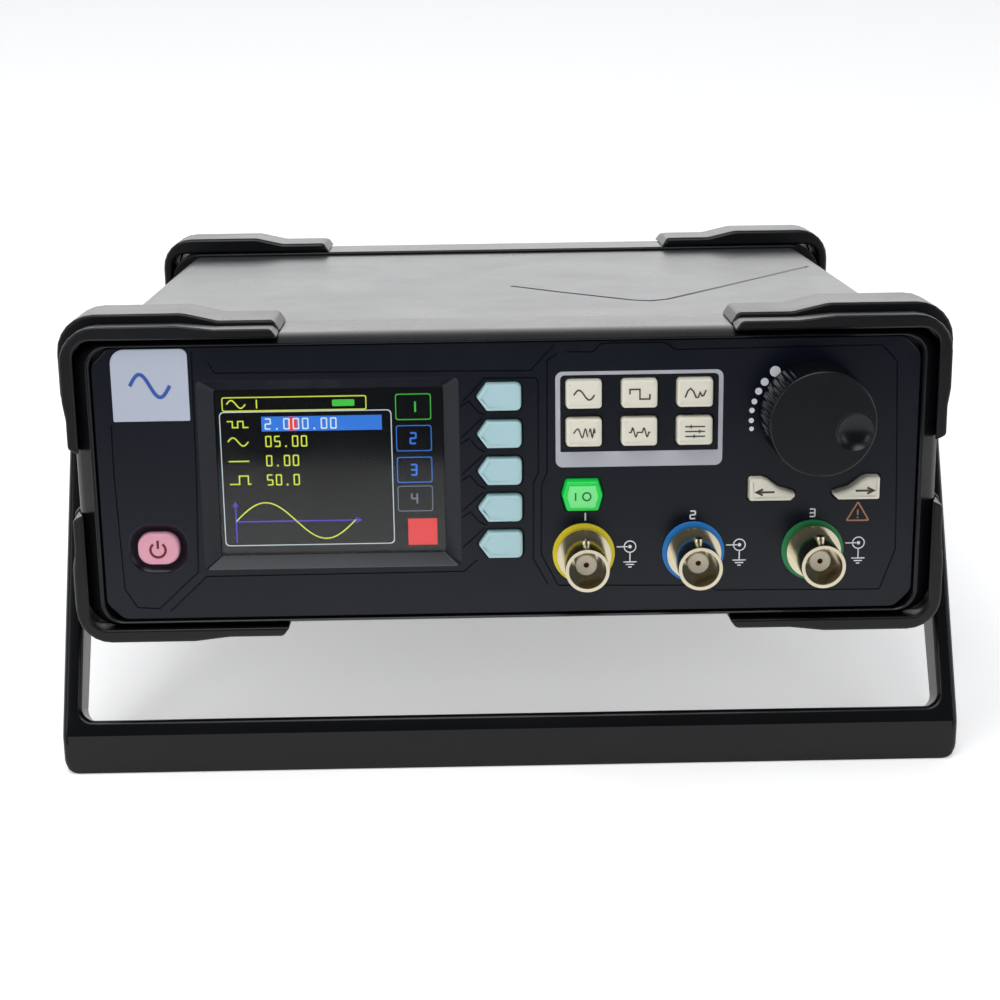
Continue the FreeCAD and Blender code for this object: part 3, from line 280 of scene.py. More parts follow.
def place(name, mesh, material, body, stand_for=(), sharp=40.0):
    """Turns a mesh drawn in the case's frame into a piece that rides on a body."""
    bmesh.ops.remove_doubles(mesh, verts=mesh.verts, dist=1e-5)
    bmesh.ops.recalc_face_normals(mesh, faces=mesh.faces)
    mesh.normal_update()
    level_faces = [max(abs(c) for c in face.normal) > 0.9999 for face in mesh.faces]
    bmesh.ops.transform(mesh, matrix=STANCE, verts=mesh.verts)
    for face, level in zip(mesh.faces, level_faces):
        face.smooth = not level
    for edge in mesh.edges:
        edge.smooth = len(edge.link_faces) != 2 or edge.calc_face_angle(0) < math.radians(sharp)
    data = bpy.data.meshes.new(name)
    mesh.to_mesh(data)
    mesh.free()
    data.materials.append(material)
    thing = bpy.data.objects.new(name, data)
    bpy.context.scene.collection.objects.link(thing)
    even = thing.modifiers.new("even_normals", "WEIGHTED_NORMAL")
    even.keep_sharp = True
    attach(thing, body)
    if stand_for:
        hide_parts(*stand_for)


def facing_back(rows, end):
    """The rows as they are for the front end, or mirrored to the rear end."""
    if end == "front":
        return rows
    return [(outline, CASE_DEPTH - depth) for outline, depth in rows]


def end_ring(half_width, half_height, radius):
    """A rounded rectangle about the case's middle."""
    return oblong(0, 0, 2 * half_width, 2 * half_height, radius, 8)


for end in ("front", "rear"):
    seat = PANEL_SEAT[end]
    nose, outer = end_ring(92.85, 32.05, 5.2), end_ring(97.4, 33.6, 8.0)
    well, through = end_ring(91.95, 31.55, 4.6), end_ring(90.3, 28.5, 4.0)
    spigot = end_ring(94.3, 30.5, 6.0)
    rows = [(grown(nose, -0.3), -1.0), (grown(nose, -0.1), -0.92), (nose, -0.7),
            (end_ring(94.9, 32.5, 6.2), 0.4), (end_ring(96.3, 33.0, 7.0), 1.8),
            (end_ring(96.75, 33.35, 7.3), 3.4), (end_ring(97.0, 33.56, 7.6), 4.7),
            (end_ring(97.2, 33.6, 7.8), 5.8), (outer, 8.2),
            (outer, FRAME_DEPTH - 0.5), (grown(outer, -0.15), FRAME_DEPTH - 0.15),
            (grown(outer, -0.5), FRAME_DEPTH), (spigot, FRAME_DEPTH), (spigot, SPIGOT_END),
            (through, SPIGOT_END), (through, seat), (well, seat),
            (well, -0.8), (grown(well, 0.25), -1.0)]
    shell = bmesh.new()
    add_rows(shell, facing_back(rows, end), closed=True)
    place(end + "_surround", shell, frame_black, "case", [end + "_frame"])


def bumper_section(level, side, drop, tail_drop, inner_x, inner_z):
    """An L round one corner: deep at the corner, falling in a soft step to a thinner tail."""
    sx, sz = (-1 if side == "left" else 1), (1 if level == "upper" else -1)
    full_z, ramp_z, end_z = LEG_Z[level]
    thick_x, thick_z = THICK_X - drop, THICK_Z - drop
    tail_x, tail_z = TAIL_X - tail_drop, TAIL_Z - tail_drop
    points = [(inner_x, inner_z, 4.0), (inner_x, end_z, 0.3), (tail_x, end_z + 1.2, 1.1),
              (tail_x, ramp_z, 5.0), (thick_x, full_z, 5.0), (thick_x, thick_z, 8.5),
              (LEG_X[0], thick_z, 7.0), (LEG_X[1], tail_z, 7.0), (LEG_X[2] + 1.6, tail_z, 1.4),
              (LEG_X[2], inner_z, 0.3)]
    return soft([(sx * x, sz * z) for x, z, r in points], [r for x, z, r in points], 6)


for end in ("front", "rear"):
    for level in ("upper", "lower"):
        for side in ("left", "right"):
            lip_near = bumper_section(level, side, 1.8, 0.9, 95.2, 33.16)
            lip = bumper_section(level, side, 1.8, 0.9, 96.85, 33.45)
            neck = bumper_section(level, side, 2.6, 1.2, 97.05, 33.6)
            main = bumper_section(level, side, 0.0, 0.0, 97.4, 33.6)
            rows = [(grown(lip_near, -0.55), -2.0), (grown(lip_near, -0.25), -1.93),
                    (grown(lip_near, -0.07), -1.75), (lip_near, -1.45), (lip, 3.2),
                    (grown(lip, -0.12), 3.5), (neck, 3.62), (neck, 4.85),
                    (grown(main, -0.75), 4.9), (grown(main, -0.35), 5.0),
                    (grown(main, -0.1), 5.25), (main, 5.65), (main, 19.6),
                    (grown(main, -0.12), 20.1), (grown(main, -0.4), 20.45),
                    (grown(main, -0.8), 20.6)]
            guard = bmesh.new()
            rings = add_rows(guard, facing_back(rows, end))
            add_cap(guard, rings[0])
            add_cap(guard, rings[-1])
            place(f"{end}_{level}_{side}_guard", guard, bumper_black, "case",
                  [f"{end}_{level}_{side}_bumper"], sharp=60)


def along(path, width):
    """The outline of a line of some width drawn along an open path."""
    left, right = [], []
    for i, p in enumerate(path):
        before = (Vector(p) - Vector(path[max(i - 1, 0)]))
        after = (Vector(path[min(i + 1, len(path) - 1)]) - Vector(p))
        way = before.normalized() + after.normalized()
        way.normalize()
        seam = max(0.5, way.dot(after.normalized() if after.length else before.normalized()))
        side = Vector((-way.y, way.x)) * width / 2 / seam
        left.append(tuple(Vector(p) + side))
        right.append(tuple(Vector(p) - side))
    outline = right + left[::-1]
    return outline if area_of(outline) > 0 else outline[::-1]


COVER_TOP, COVER_END_GAP, CREASE_DEPTH = 32.6, 0.05, 0.35
COVER_PROFILE = [(96.4, 0.1), (96.4, 27.1), (89.4, COVER_TOP), (-89.4, COVER_TOP), (-96.4, 27.1),
                 (-96.4, 0.1), (-94.4, 0.1), (-94.4, 26.2), (-88.4, 30.6), (88.4, 30.6),
                 (94.4, 26.2), (94.4, 0.1)]
COVER_RADII = [0.3, 4.0, 4.0, 4.0, 4.0, 0.3, 0.2, 2.0, 2.0, 2.0, 2.0, 0.2]
CREASE = [(2.9, 80.3), (15.1, 67.6), (32.0, 51.6), (36.5, 49.6), (41.0, 52.0), (56.6, 72.0),
          (86.0, 110.4)]
for level, sign in (("upper", 1), ("lower", -1)):
    skin = bmesh.new()
    section = soft([(x, sign * z) for x, z in COVER_PROFILE], COVER_RADII, 5)
    rings = add_rows(skin, [(section, FRAME_DEPTH + COVER_END_GAP),
                            (section, CASE_DEPTH - FRAME_DEPTH - COVER_END_GAP)])
    add_cap(skin, rings[0])
    add_cap(skin, rings[-1])
    if sign > 0:
        span = [f for f in skin.faces
                if all(abs(v.co.z - COVER_TOP) < 1e-3 for v in f.verts) and f.calc_area() > 5000]
        flat = span[0]
        ring = list(flat.verts)
        bmesh.ops.delete(skin, geom=[flat], context="FACES_ONLY")
        top = [[skin.verts.new((x, y, z)) for x, y in along(CREASE, width)]
               for width, z in ((1.5, COVER_TOP), (0.5, COVER_TOP - CREASE_DEPTH))]
        for i in range(len(top[0])):
            j = (i + 1) % len(top[0])
            skin.faces.new((top[0][i], top[0][j], top[1][j], top[1][i]))
        add_cap(skin, top[1], axes=(0, 1))
        add_cap(skin, ring, [top[0]], axes=(0, 1))
    place(level + "_sleeve", skin, cover_black, "case", [level + "_cover"],
          sharp=35)

# ---- front panel ------------------------------------------------------------------------------
# One black moulding with a bevelled display recess, a hole for each control, an oval dish for
# the power key and fine grooves that part its zones.

PANEL_SIDE, PANEL_EDGE, PANEL_CUT, PANEL_BACK = 91.8, 31.4, 4.0, 3.0
SCREEN, SCREEN_BEVEL, WINDOW_SEAT = (-39.8, 1.9, 51.0, 38.2), (6.6, 4.8), 2.75
ENCODER_HOLE, BNC_HOLE, KEY_GAP, DISH_MARGIN, DISH_FLOOR = 3.65, 4.9, 0.16, 2.1, 1.2
SOFT_X, SOFT_Z, SOFT_PITCH = -1.85, 2.28, 8.46
FUNCTION_AT, FUNCTION_PITCH = (29.25, 15.2), (12.3, 8.6)
OUTPUT_AT, ARROW_AT, ARROW_APART, POWER_AT = (16.6, -3.6), (68.6, -2.8), 9.5, (-79.1, -14.6)
KNOB_AT, BNC_X, BNC_Z = (67.8, 14.5), (16.9, 41.7, 68.7), -17.3
GROOVE_WIDTH, GROOVE_DEPTH = 0.34, 0.3

panel_black = surface("panel_black", (8, 14, 26), 0.25, grain=0.04, grain_size=0.0004,
                      specular=0.32)


def soft_key(grow=0.0):
    """A bar with a blunt point towards the screen."""
    point = 2.2
    tip, flank = -5.0 - grow, 3.1 + grow
    return soft([(tip, 0), (tip + point, -flank), (5 + grow, -flank), (5 + grow, flank),
                 (tip + point, flank)], [0.3, 0.5, 1.3, 1.3, 0.5], 4)


def function_key(grow=0.0):
    """A plain rounded key."""
    return oblong(0, 0, 8.1 + 2 * grow, 6.5 + 2 * grow, 0.9 + grow)


def output_key(grow=0.0):
    """A six-sided key with points at its sides."""
    return soft([(-3.6 - grow, -3.5 - grow), (3.6 + grow, -3.5 - grow), (4.6 + grow, 0),
                 (3.6 + grow, 3.5 + grow), (-3.6 - grow, 3.5 + grow), (-4.6 - grow, 0)], 0.7, 4)


def arrow_key(grow, hand):
    """Tall end outwards, falling away in a curve towards the other arrow; hand 1 is the left."""
    points = [(-5.2, -2.7), (4.2, -2.7), (5.2, -1.7), (5.2, -0.9), (1.6, 0.2), (-1.0, 2.2),
              (-2.2, 2.7), (-5.2, 2.7)]
    outline = grown(soft(points, [0.6, 0.5, 0.5, 0.5, 2.5, 2.5, 0.8, 0.6], 4), grow)
    return outline if hand > 0 else [(-x, z) for x, z in outline[::-1]]


def power_key(grow=0.0):
    """An oval key, nearly straight at its top and bottom."""
    return oblong(0, 0, 9.4 + 2 * grow, 7.4 + 2 * grow, 3.2 + grow, 8)


def at(outline, x, z):
    """The outline moved to a point."""
    return [(p[0] + x, p[1] + z) for p in outline]


def disc(x, z, radius, count=40):
    """A circle about a point."""
    return [(x + radius * math.cos(2 * math.pi * k / count),
             z + radius * math.sin(2 * math.pi * k / count)) for k in range(count)]


def eased(outline, front, back, ease):
    """Rows from a front edge rounded by ease down a straight side to the back."""
    rows, steps = [], 3
    for k in range(steps + 1):
        angle = math.pi / 2 * k / steps
        rows.append((grown(outline, -ease * (1 - math.sin(angle))),
                     front + ease * (1 - math.cos(angle))))
    return rows + [(outline, back)]


CONTROLS = []
for index in range(5):
    CONTROLS.append((f"soft_key_{index + 1}", soft_key, SOFT_X, SOFT_Z + (2 - index) * SOFT_PITCH))
for index in range(6):
    CONTROLS.append((f"function_key_{index + 1}", function_key,
                     FUNCTION_AT[0] + (index % 3 - 1) * FUNCTION_PITCH[0],
                     FUNCTION_AT[1] + (0.5 - index // 3) * FUNCTION_PITCH[1]))
CONTROLS.append(("output_key", output_key, *OUTPUT_AT))
CONTROLS.append(("left_arrow_key", lambda grow=0.0: arrow_key(grow, 1),
                 ARROW_AT[0] - ARROW_APART, ARROW_AT[1]))
CONTROLS.append(("right_arrow_key", lambda grow=0.0: arrow_key(grow, -1),
                 ARROW_AT[0] + ARROW_APART, ARROW_AT[1]))
CONTROLS.append(("power_key", power_key, *POWER_AT))

opening = oblong(*SCREEN, 0.6)
recess = oblong(SCREEN[0], SCREEN[1], SCREEN[2] + SCREEN_BEVEL[0], SCREEN[3] + SCREEN_BEVEL[1], 1.0)
holes = [[(grown(recess, 0.25), 0.0), (recess, 0.2), (grown(opening, 0.15), WINDOW_SEAT),
          (opening, PANEL_BACK)]]
for name, outline_of, x, z in CONTROLS:
    if name == "power_key":
        dish, throat = at(power_key(DISH_MARGIN), x, z), at(power_key(0.15), x, z)
        holes.append([(dish, 0.0), (grown(dish, -0.35), 0.12), (grown(dish, -1.3), DISH_FLOOR - 0.1),
                      (throat, DISH_FLOOR), (throat, PANEL_BACK)])
    else:
        mouth = at(outline_of(KEY_GAP), x, z)
        holes.append([(grown(mouth, 0.3), 0.0), (grown(mouth, 0.1), 0.09), (mouth, 0.3),
                      (mouth, PANEL_BACK)])
for x, z, radius in ((*KNOB_AT, ENCODER_HOLE), *((x, BNC_Z, BNC_HOLE) for x in BNC_X)):
    holes.append([(disc(x, z, radius), 0.0), (disc(x, z, radius), PANEL_BACK)])

GROOVES = [
    [(-69.3, 30.2), (-69.6, 4.0), (-70.4, -20.2), (-79.6, -28.7), (-84.6, -28.4), (-87.2, -24.0),
     (-88.0, 2.0), (-87.9, 14.0)],
    [(-77.2, -29.4), (-68.6, -21.3), (-10.2, -21.1), (-7.2, -18.4)],
    [(-9.9, 18.1), (-4.9, 23.3), (6.3, 23.2), (6.9, 22.3), (6.8, 1.6), (5.7, -0.6), (5.5, -18.4),
     (8.8, -24.6)],
    [(11.2, 28.6), (8.9, 27.0), (8.7, 1.5), (7.5, -1.2), (7.3, -17.4), (11.1, -24.8),
     (45.8, -25.4), (47.0, -26.6), (84.3, -27.0), (87.6, -17.6), (87.2, 0.0), (86.3, 25.6),
     (83.0, 29.3), (37.2, 29.0), (35.2, 30.5), (33.6, 30.7), (22.6, 30.7), (20.8, 30.5),
     (19.0, 28.8), (13.0, 28.9)],
    [(-65.8, 27.9), (-64.4, 25.4), (-10.0, 25.0), (5.1, 24.8), (10.4, 30.4)],
]
for gap in range(4):
    z = SOFT_Z + (1.5 - gap) * SOFT_PITCH
    GROOVES.append([(-10.4, z + 2.0), (-8.5, z + 3.2), (-6.7, z + 0.95), (-5.0, z + 0.05)])
    GROOVES.append([(-5.5, z - 0.6), (-8.6, z - 3.5), (-10.4, z - 5.1)])
for path in GROOVES:
    line = along(path, GROOVE_WIDTH)
    thin = along(path, GROOVE_WIDTH * 0.3)
    holes.append([(line, 0.0), (thin, GROOVE_DEPTH)])

blind = set(range(len(holes) - len(GROOVES), len(holes)))
panel = bmesh.new()
corners = [(PANEL_SIDE, PANEL_EDGE - PANEL_CUT), (PANEL_SIDE - PANEL_CUT, PANEL_EDGE)]
rim = soft([(-x, -z) for x, z in corners] + [(x, -z) for x, z in corners[::-1]]
           + corners + [(-x, z) for x, z in corners[::-1]], 3.0, 5)
edge_rings = add_rows(panel, eased(rim, 0.0, PANEL_BACK, 0.35))
hole_rings = [add_rows(panel, hole) for hole in holes]
add_cap(panel, edge_rings[0], [rings[0] for rings in hole_rings])
add_cap(panel, edge_rings[-1], [rings[-1] for i, rings in enumerate(hole_rings) if i not in blind])
for i in blind:
    add_cap(panel, hole_rings[i][-1])
place("panel_moulding", panel, panel_black, "case", ["front_panel"], sharp=50)

# ---- printing on the panel --------------------------------------------------------------------
# Thin inks on the panel: the grey frame round the function keys, white dots that grow towards
# more, a circuit mark beside each socket and a warning triangle. The badge is a plain plate.

INK, INK_BACK, MARK_LINE = 0.06, -0.004, 0.26
ink_grey = surface("ink_grey", (184, 186, 194), 0.5, vary=0.04)
ink_white = surface("ink_white", (232, 234, 238), 0.5, vary=0.03)
ink_orange = surface("ink_orange", (170, 120, 90), 0.5, vary=0.05)


def add_slab(mesh, outline, front, back, ease=0.0, holes=()):
    """A plate with a rounded front edge; each hole is its own rows from front to back."""
    rows = eased(outline, front, back, ease) if ease else [(outline, front), (outline, back)]
    rings = add_rows(mesh, rows)
    inner = [add_rows(mesh, hole) for hole in holes]
    add_cap(mesh, rings[0], [ring[0] for ring in inner])
    add_cap(mesh, rings[-1], [ring[-1] for ring in inner])


def add_ring(mesh, outer, inner, front, back):
    """A flat frame between two outlines."""
    add_slab(mesh, outer, front, back, holes=[[(inner, front), (inner, back)]])


grey = bmesh.new()
outer = oblong(29.32, 13.55, 37.25, 21.7, 1.6, 8)
inner = soft([(11.75, 6.2), (46.95, 6.2), (46.95, 23.6), (11.75, 23.6)], [0.2, 0.2, 1.0, 1.0], 6)
add_ring(grey, outer, inner, -INK, INK_BACK)
place("function_frame", grey, ink_grey, "case")

dots = bmesh.new()
for x, z, radius in ((59.4, 23.7, 1.2), (57.1, 21.4, 0.88), (55.8, 19.3, 0.78), (54.9, 17.0, 0.64),
                     (54.4, 15.0, 0.6), (54.3, 12.7, 0.58), (54.4, 10.8, 0.52)):
    add_slab(dots, disc(x, z, radius, 28), -INK, INK_BACK)
place("level_dots", dots, ink_white, "case")

STROKES = {"0": "abcdef", "1": "bc", "2": "abged", "3": "abgcd", "4": "fgbc", "5": "afgcd"}
SEGMENTS = {"a": ((0, 2), (1, 2)), "b": ((1, 2), (1, 1)), "c": ((1, 1), (1, 0)),
            "d": ((0, 0), (1, 0)), "e": ((0, 0), (0, 1)), "f": ((0, 1), (0, 2)),
            "g": ((0, 1), (1, 1))}


def figures(mesh, text, x, z, height, pitch, front, line=0.3, thick=0.03):
    """Plain seven-stroke figures, drawn from x to the right."""
    for i, mark in enumerate(text):
        left = x + i * pitch
        if mark == ".":
            add_slab(mesh, oblong(left + pitch * 0.3, z - height / 2 + line / 2, line * 1.3,
                                  line * 1.3), front, front + thick)
        for key in STROKES.get(mark, ""):
            a, b = SEGMENTS[key]
            wide, tall = pitch * 0.56, height / 2 - line / 2
            ends = [(left + p[0] * wide + line / 2, z + (p[1] - 1) * tall) for p in (a, b)]
            add_slab(mesh, along(ends, line), front, front + thick)


marks = bmesh.new()
for x in BNC_X:
    cx, cz = x + 10.5, BNC_Z + 1.3
    add_ring(marks, disc(cx, cz, 1.45, 28), disc(cx, cz, 1.2, 28), -INK, INK_BACK)
    add_slab(marks, disc(cx, cz, 0.4, 16), -INK, INK_BACK)
    add_slab(marks, along([(cx - 3.0, cz), (cx - 0.5, cz)], MARK_LINE), -INK, INK_BACK)
    add_slab(marks, along([(cx, cz - 1.5), (cx, cz - 3.6)], MARK_LINE), -INK, INK_BACK)
    for drop, half in ((3.6, 1.5), (4.2, 0.95), (4.8, 0.4)):
        add_slab(marks, along([(cx - half, cz - drop), (cx + half, cz - drop)], MARK_LINE),
                 -INK, INK_BACK)
for index, x in enumerate(BNC_X):
    figures(marks, str(index + 1), x - 0.9, -8.8, 2.1, 2.0, -INK, 0.34, INK + INK_BACK)
place("socket_marks", marks, ink_white, "case")

warn = bmesh.new()
edge = [(76.0, -10.9), (81.6, -10.9), (78.8, -6.1)]
add_ring(warn, soft(edge, 0.3, 3), soft([(76.6, -10.55), (81.0, -10.55), (78.8, -6.8)], 0.1, 3),
         -INK, INK_BACK)
add_slab(warn, along([(78.8, -8.2), (78.8, -9.5)], 0.34), -INK, INK_BACK)
add_slab(warn, disc(78.8, -10.05, 0.2, 12), -INK, INK_BACK)
place("warning_mark", warn, ink_orange, "case")

badge_grey = surface("badge_plate", (188, 196, 212), 0.3, vary=0.03, coat=0.3)
badge_blue = surface("badge_blue", (52, 88, 170), 0.35, vary=0.06)
BADGE_STAND = 0.35
badge = bmesh.new()
plate = soft([(-87.3, 14.8), (-70.3, 14.8), (-70.3, 31.0), (-87.3, 31.0)], [0.3, 0.3, 1.6, 3.2], 8)
add_slab(badge, plate, -BADGE_STAND, INK_BACK, 0.15)
place("badge_plate", badge, badge_grey, "case")
wave = bmesh.new()
path = [(-83.2 + 8.8 * k / 24, 22.8 + 2.6 * math.sin(2 * math.pi * k / 24)) for k in range(25)]
add_slab(wave, along(path, 0.8), -BADGE_STAND - INK, -BADGE_STAND - 0.002)
place("badge_wave", wave, badge_blue, "case")

# ---- display ----------------------------------------------------------------------------------
# A colour liquid-crystal screen sits behind a flat clear window, which is glued into the panel's
# recess. It shows plain figures, a column of numbered boxes and a curve.

screen_black = surface("screen_black", (5, 6, 7), 0.3, vary=0.2, specular=0.1)


def dress(node, material, ease=0.0):
    """Gives a CAD node its material and rounded edges, ease in millimetres."""
    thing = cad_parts[node]
    thing.data.materials.clear()
    thing.data.materials.append(material)
    if ease:
        weld = thing.modifiers.new("weld", "WELD")
        weld.merge_threshold = 1e-6
        flat = thing.modifiers.new("flat", "DECIMATE")
        flat.decimate_type = "DISSOLVE"
        flat.angle_limit = math.radians(0.5)
        bevel = thing.modifiers.new("ease", "BEVEL")
        bevel.width = ease / 1000
        bevel.segments = 3
        bevel.limit_method = "ANGLE"
        bevel.angle_limit = math.radians(25)
        bevel.miter_outer = "MITER_ARC"
        even = thing.modifiers.new("even_normals", "WEIGHTED_NORMAL")
        even.keep_sharp = False


dress("display_module", screen_black)


def glowing(name, colour, strength):
    """An even colour lit from behind."""
    return surface(name, colour, 0.5, vary=0.05, grain=0.0, glow=strength)


glass = bpy.data.materials.new("clear_window")
glass.use_nodes = True
tree = glass.node_tree
tree.nodes.remove(tree.nodes["Principled BSDF"])
clear = put(tree, "ShaderNodeBsdfTransparent", Color=(0.93, 0.94, 0.94, 1.0))
shine = put(tree, "ShaderNodeBsdfGlossy", Roughness=0.06)
smears = put(tree, "ShaderNodeTexNoise", Scale=60.0)
spots = put(tree, "ShaderNodeTexCoord")
tree.links.new(spots.outputs["Object"], smears.inputs["Vector"])
tree.links.new(spread(tree, smears.outputs["Fac"], 0.04, 0.09), shine.inputs["Roughness"])
angle = put(tree, "ShaderNodeFresnel", IOR=1.45)
both = put(tree, "ShaderNodeMixShader")
tree.links.new(angle.outputs["Fac"], both.inputs[0])
tree.links.new(clear.outputs[0], both.inputs[1])
tree.links.new(shine.outputs[0], both.inputs[2])
tree.links.new(both.outputs[0], tree.nodes["Material Output"].inputs["Surface"])
dress("display_window", glass)


def curve(x, z, width, height, shape, count=28):
    """Points of one period of a wave about a middle point."""
    return [(x - width / 2 + width * k / count, z + height / 2 * shape(k / count))
            for k in range(count + 1)]


def add_line(mesh, path, width, front):
    """A bright line on the screen."""
    add_slab(mesh, along(path, width), front, front + LINE_THICK)


def sine(t):
    """One smooth wave over a period."""
    return math.sin(2 * math.pi * t)


LCD_Y, LINE_THICK = 3.9, 0.03
LAYER, LAYER_BACK = LCD_Y - 0.035, LCD_Y - 0.005
yellow, green, blue, white, red, violet, grey_glow = (bmesh.new() for _ in range(7))
add_ring(yellow, oblong(-47.6, 17.5, 32.4, 3.3, 0.5), oblong(-47.6, 17.5, 31.9, 2.8, 0.3),
         LAYER, LAYER_BACK)
add_line(yellow, curve(-60.6, 17.5, 4.2, 1.8, sine), 0.3, LAYER)
figures(yellow, "1", -57.2, 17.5, 2.3, 1.9, LAYER)
add_slab(green, oblong(-36.6, 17.5, 5.0, 1.5, 0.3), LAYER, LAYER_BACK)
for row, text in enumerate(("05.00", "0.00", "50.0")):
    z = 8.9 - row * 4.45
    figures(yellow, text, -54.4, z, 2.6, 2.0, LAYER)
add_line(yellow, curve(-60.5, 8.9, 4.6, 1.9, sine), 0.3, LAYER)
add_line(yellow, [(-62.8, 4.4), (-58.2, 4.4)], 0.3, LAYER)
add_line(yellow, [(-62.8, -0.9), (-60.6, -0.9), (-60.6, 1.0), (-58.6, 1.0), (-58.6, -0.9),
                  (-57.9, -0.9)], 0.3, LAYER)
add_line(yellow, [(-62.8, 13.6), (-61.6, 13.6), (-61.6, 12.2), (-60.4, 12.2), (-60.4, 13.6),
                  (-59.2, 13.6), (-59.2, 12.2), (-58.0, 12.2)], 0.3, LAYER)
add_slab(blue, oblong(-41.6, 12.9, 27.0, 3.4), LAYER + 0.015, LCD_Y - 0.002)
figures(white, "2.000.00", -54.4, 12.9, 2.6, 2.1, LAYER - 0.02)
add_slab(red, oblong(-48.2, 12.9, 2.0, 3.1), LAYER, LCD_Y - 0.02)
add_ring(white, oblong(-45.2, 0.2, 38.6, 31.2, 1.0), oblong(-45.2, 0.2, 38.2, 30.8, 0.9),
         LAYER + 0.01, LCD_Y - 0.004)
add_line(yellow, curve(-48.2, -9.6, 27.2, 8.6, sine, 40), 0.28, LAYER)
add_line(violet, [(-61.8, -14.6), (-61.8, -5.2)], 0.3, LAYER)
add_line(violet, [(-61.8, -9.7), (-33.4, -9.7)], 0.3, LAYER)
add_line(violet, [(-34.6, -9.1), (-33.4, -9.7), (-34.6, -10.3)], 0.26, LAYER)
add_line(violet, [(-62.4, -6.2), (-61.8, -5.2), (-61.2, -6.2)], 0.26, LAYER)
for index, (mesh, z) in enumerate(((green, 16.3), (blue, 9.1), (blue, 1.8), (grey_glow, -4.9))):
    add_ring(mesh, oblong(-21.0, z, 8.0, 6.0, 0.6), oblong(-21.0, z, 7.6, 5.6, 0.5),
             LAYER, LAYER_BACK)
    figures(mesh, str(index + 1), -22.0, z, 2.8, 2.2, LAYER, 0.4)
add_slab(red, oblong(-19.5, -12.7, 6.6, 6.2), LAYER, LAYER_BACK)
for mesh, name, colour, strength in (
        (yellow, "yellow", (214, 224, 70), 0.9), (green, "green", (70, 200, 70), 0.8),
        (blue, "blue", (50, 120, 215), 0.9), (white, "white", (215, 225, 230), 0.8),
        (red, "red", (225, 60, 60), 0.9), (violet, "violet", (70, 60, 190), 0.9),
        (grey_glow, "grey", (120, 130, 145), 0.7)):
    place("screen_" + name, mesh, glowing("glow_" + name, colour, strength), "case",
          sharp=30)

# ---- keys -------------------------------------------------------------------------------------
# Moulded caps with softly rounded faces: pale blue beside the screen, cream for functions and
# arrows, a lit green output key and a pink power key. Each rides its own sliding body.

KEY_FRONT, POWER_FRONT, CAP_WIDEST, CAP_BACK, CAP_EASE = -2.2, -0.8, 0.6, 4.0, 0.5
FINE, PLAIN, BOLD = 0.28, 0.34, 0.45
cyan = surface("key_cyan", (178, 214, 219), 0.42, vary=0.04, grain=0.03)
cream = surface("key_cream", (234, 230, 213), 0.42, vary=0.03, grain=0.03)
lit_green = surface("key_green", (20, 186, 70), 0.35, vary=0.08, glow=0.42)
pink = surface("key_pink", (230, 164, 182), 0.38, vary=0.05)
key_ink = surface("key_ink", (62, 58, 48), 0.5, vary=0.1)
dark_red = surface("power_ink", (110, 20, 35), 0.45, vary=0.1)


def cap_rows(outline, front, back, ease):
    """A dished cap: a flat middle, a rounded shoulder and slightly drafted sides."""
    rows = [(grown(outline, -ease * 2.1), front), (grown(outline, -ease * 1.3), front + 0.03)]
    for k in range(5):
        angle = math.pi / 2 * k / 4
        rows.append((grown(outline, -ease * (1 - math.sin(angle)) - 0.12),
                     front + 0.08 + ease * (1 - math.cos(angle))))
    return rows + [(outline, CAP_WIDEST), (outline, back)]


FINISH = {"soft_key": (cyan, "cyan_key"), "function_key": (cream, "cream_key"),
          "left_arrow_key": (cream, "cream_key"), "right_arrow_key": (cream, "cream_key"),
          "output_key": (lit_green, "green_key"), "power_key": (pink, "pink_key")}
for name, outline_of, x, z in CONTROLS:
    material, key_slot = FINISH[name.rstrip("_123456")]
    front = POWER_FRONT if name == "power_key" else KEY_FRONT
    cap = bmesh.new()
    rings = add_rows(cap, cap_rows(at(outline_of(), x, z), front, CAP_BACK, CAP_EASE))
    add_cap(cap, rings[0])
    add_cap(cap, rings[-1])
    place(name + "_cap", cap, material, name + "_cap", [name], sharp=50)


def icon(key, paths, material, width=PLAIN, front=KEY_FRONT):
    """Thin ink lines on a key's face."""
    name, outline_of, x, z = next(c for c in CONTROLS if c[0] == key)
    mesh = bmesh.new()
    for path in paths:
        add_slab(mesh, along([(p[0] + x, p[1] + z) for p in path], width), front - INK,
                 front + INK_BACK)
    place(key + "_mark", mesh, material, key + "_cap")


icon("function_key_1", [curve(0, 0, 4.6, 2.2, sine)], key_ink)
icon("function_key_2", [[(-2.2, 0), (-2.2, 1.1), (0, 1.1), (0, -1.1), (2.2, -1.1), (2.2, 0)]],
     key_ink)
icon("function_key_3", [[(-2.3, -0.9), (-1.7, 0.6), (-1.1, 1.1), (-0.5, 0.5), (0.1, -0.9),
                         (0.6, -0.9), (1.0, 0.2), (1.4, -0.6), (1.8, -0.5), (2.3, 0.7)]], key_ink)
icon("function_key_4", [[(-2.4 + 4.8 * t, 1.0 * math.sin(2 * math.pi * (0.7 * t + 2.8 * t * t)))
                         for t in [k / 48 for k in range(49)]]], key_ink, FINE)
icon("function_key_5", [[(-2.4, 0), (-1.9, 0)] + curve(-1.2, 0, 1.4, 2.0, sine, 12)[1:]
                        + [(0.6, 0)] + curve(1.3, 0, 1.4, 2.0, sine, 12)[1:] + [(2.4, 0)]],
     key_ink, FINE)
icon("function_key_6", [[(-2.2, 1.1), (2.2, 1.1)], [(-2.2, 0), (2.2, 0)], [(-2.2, -1.1), (2.2, -1.1)],
                        [(-0.9, 1.5), (-0.9, 0.7)], [(1.0, 0.4), (1.0, -0.4)],
                        [(-0.2, -0.7), (-0.2, -1.5)]], key_ink, FINE)
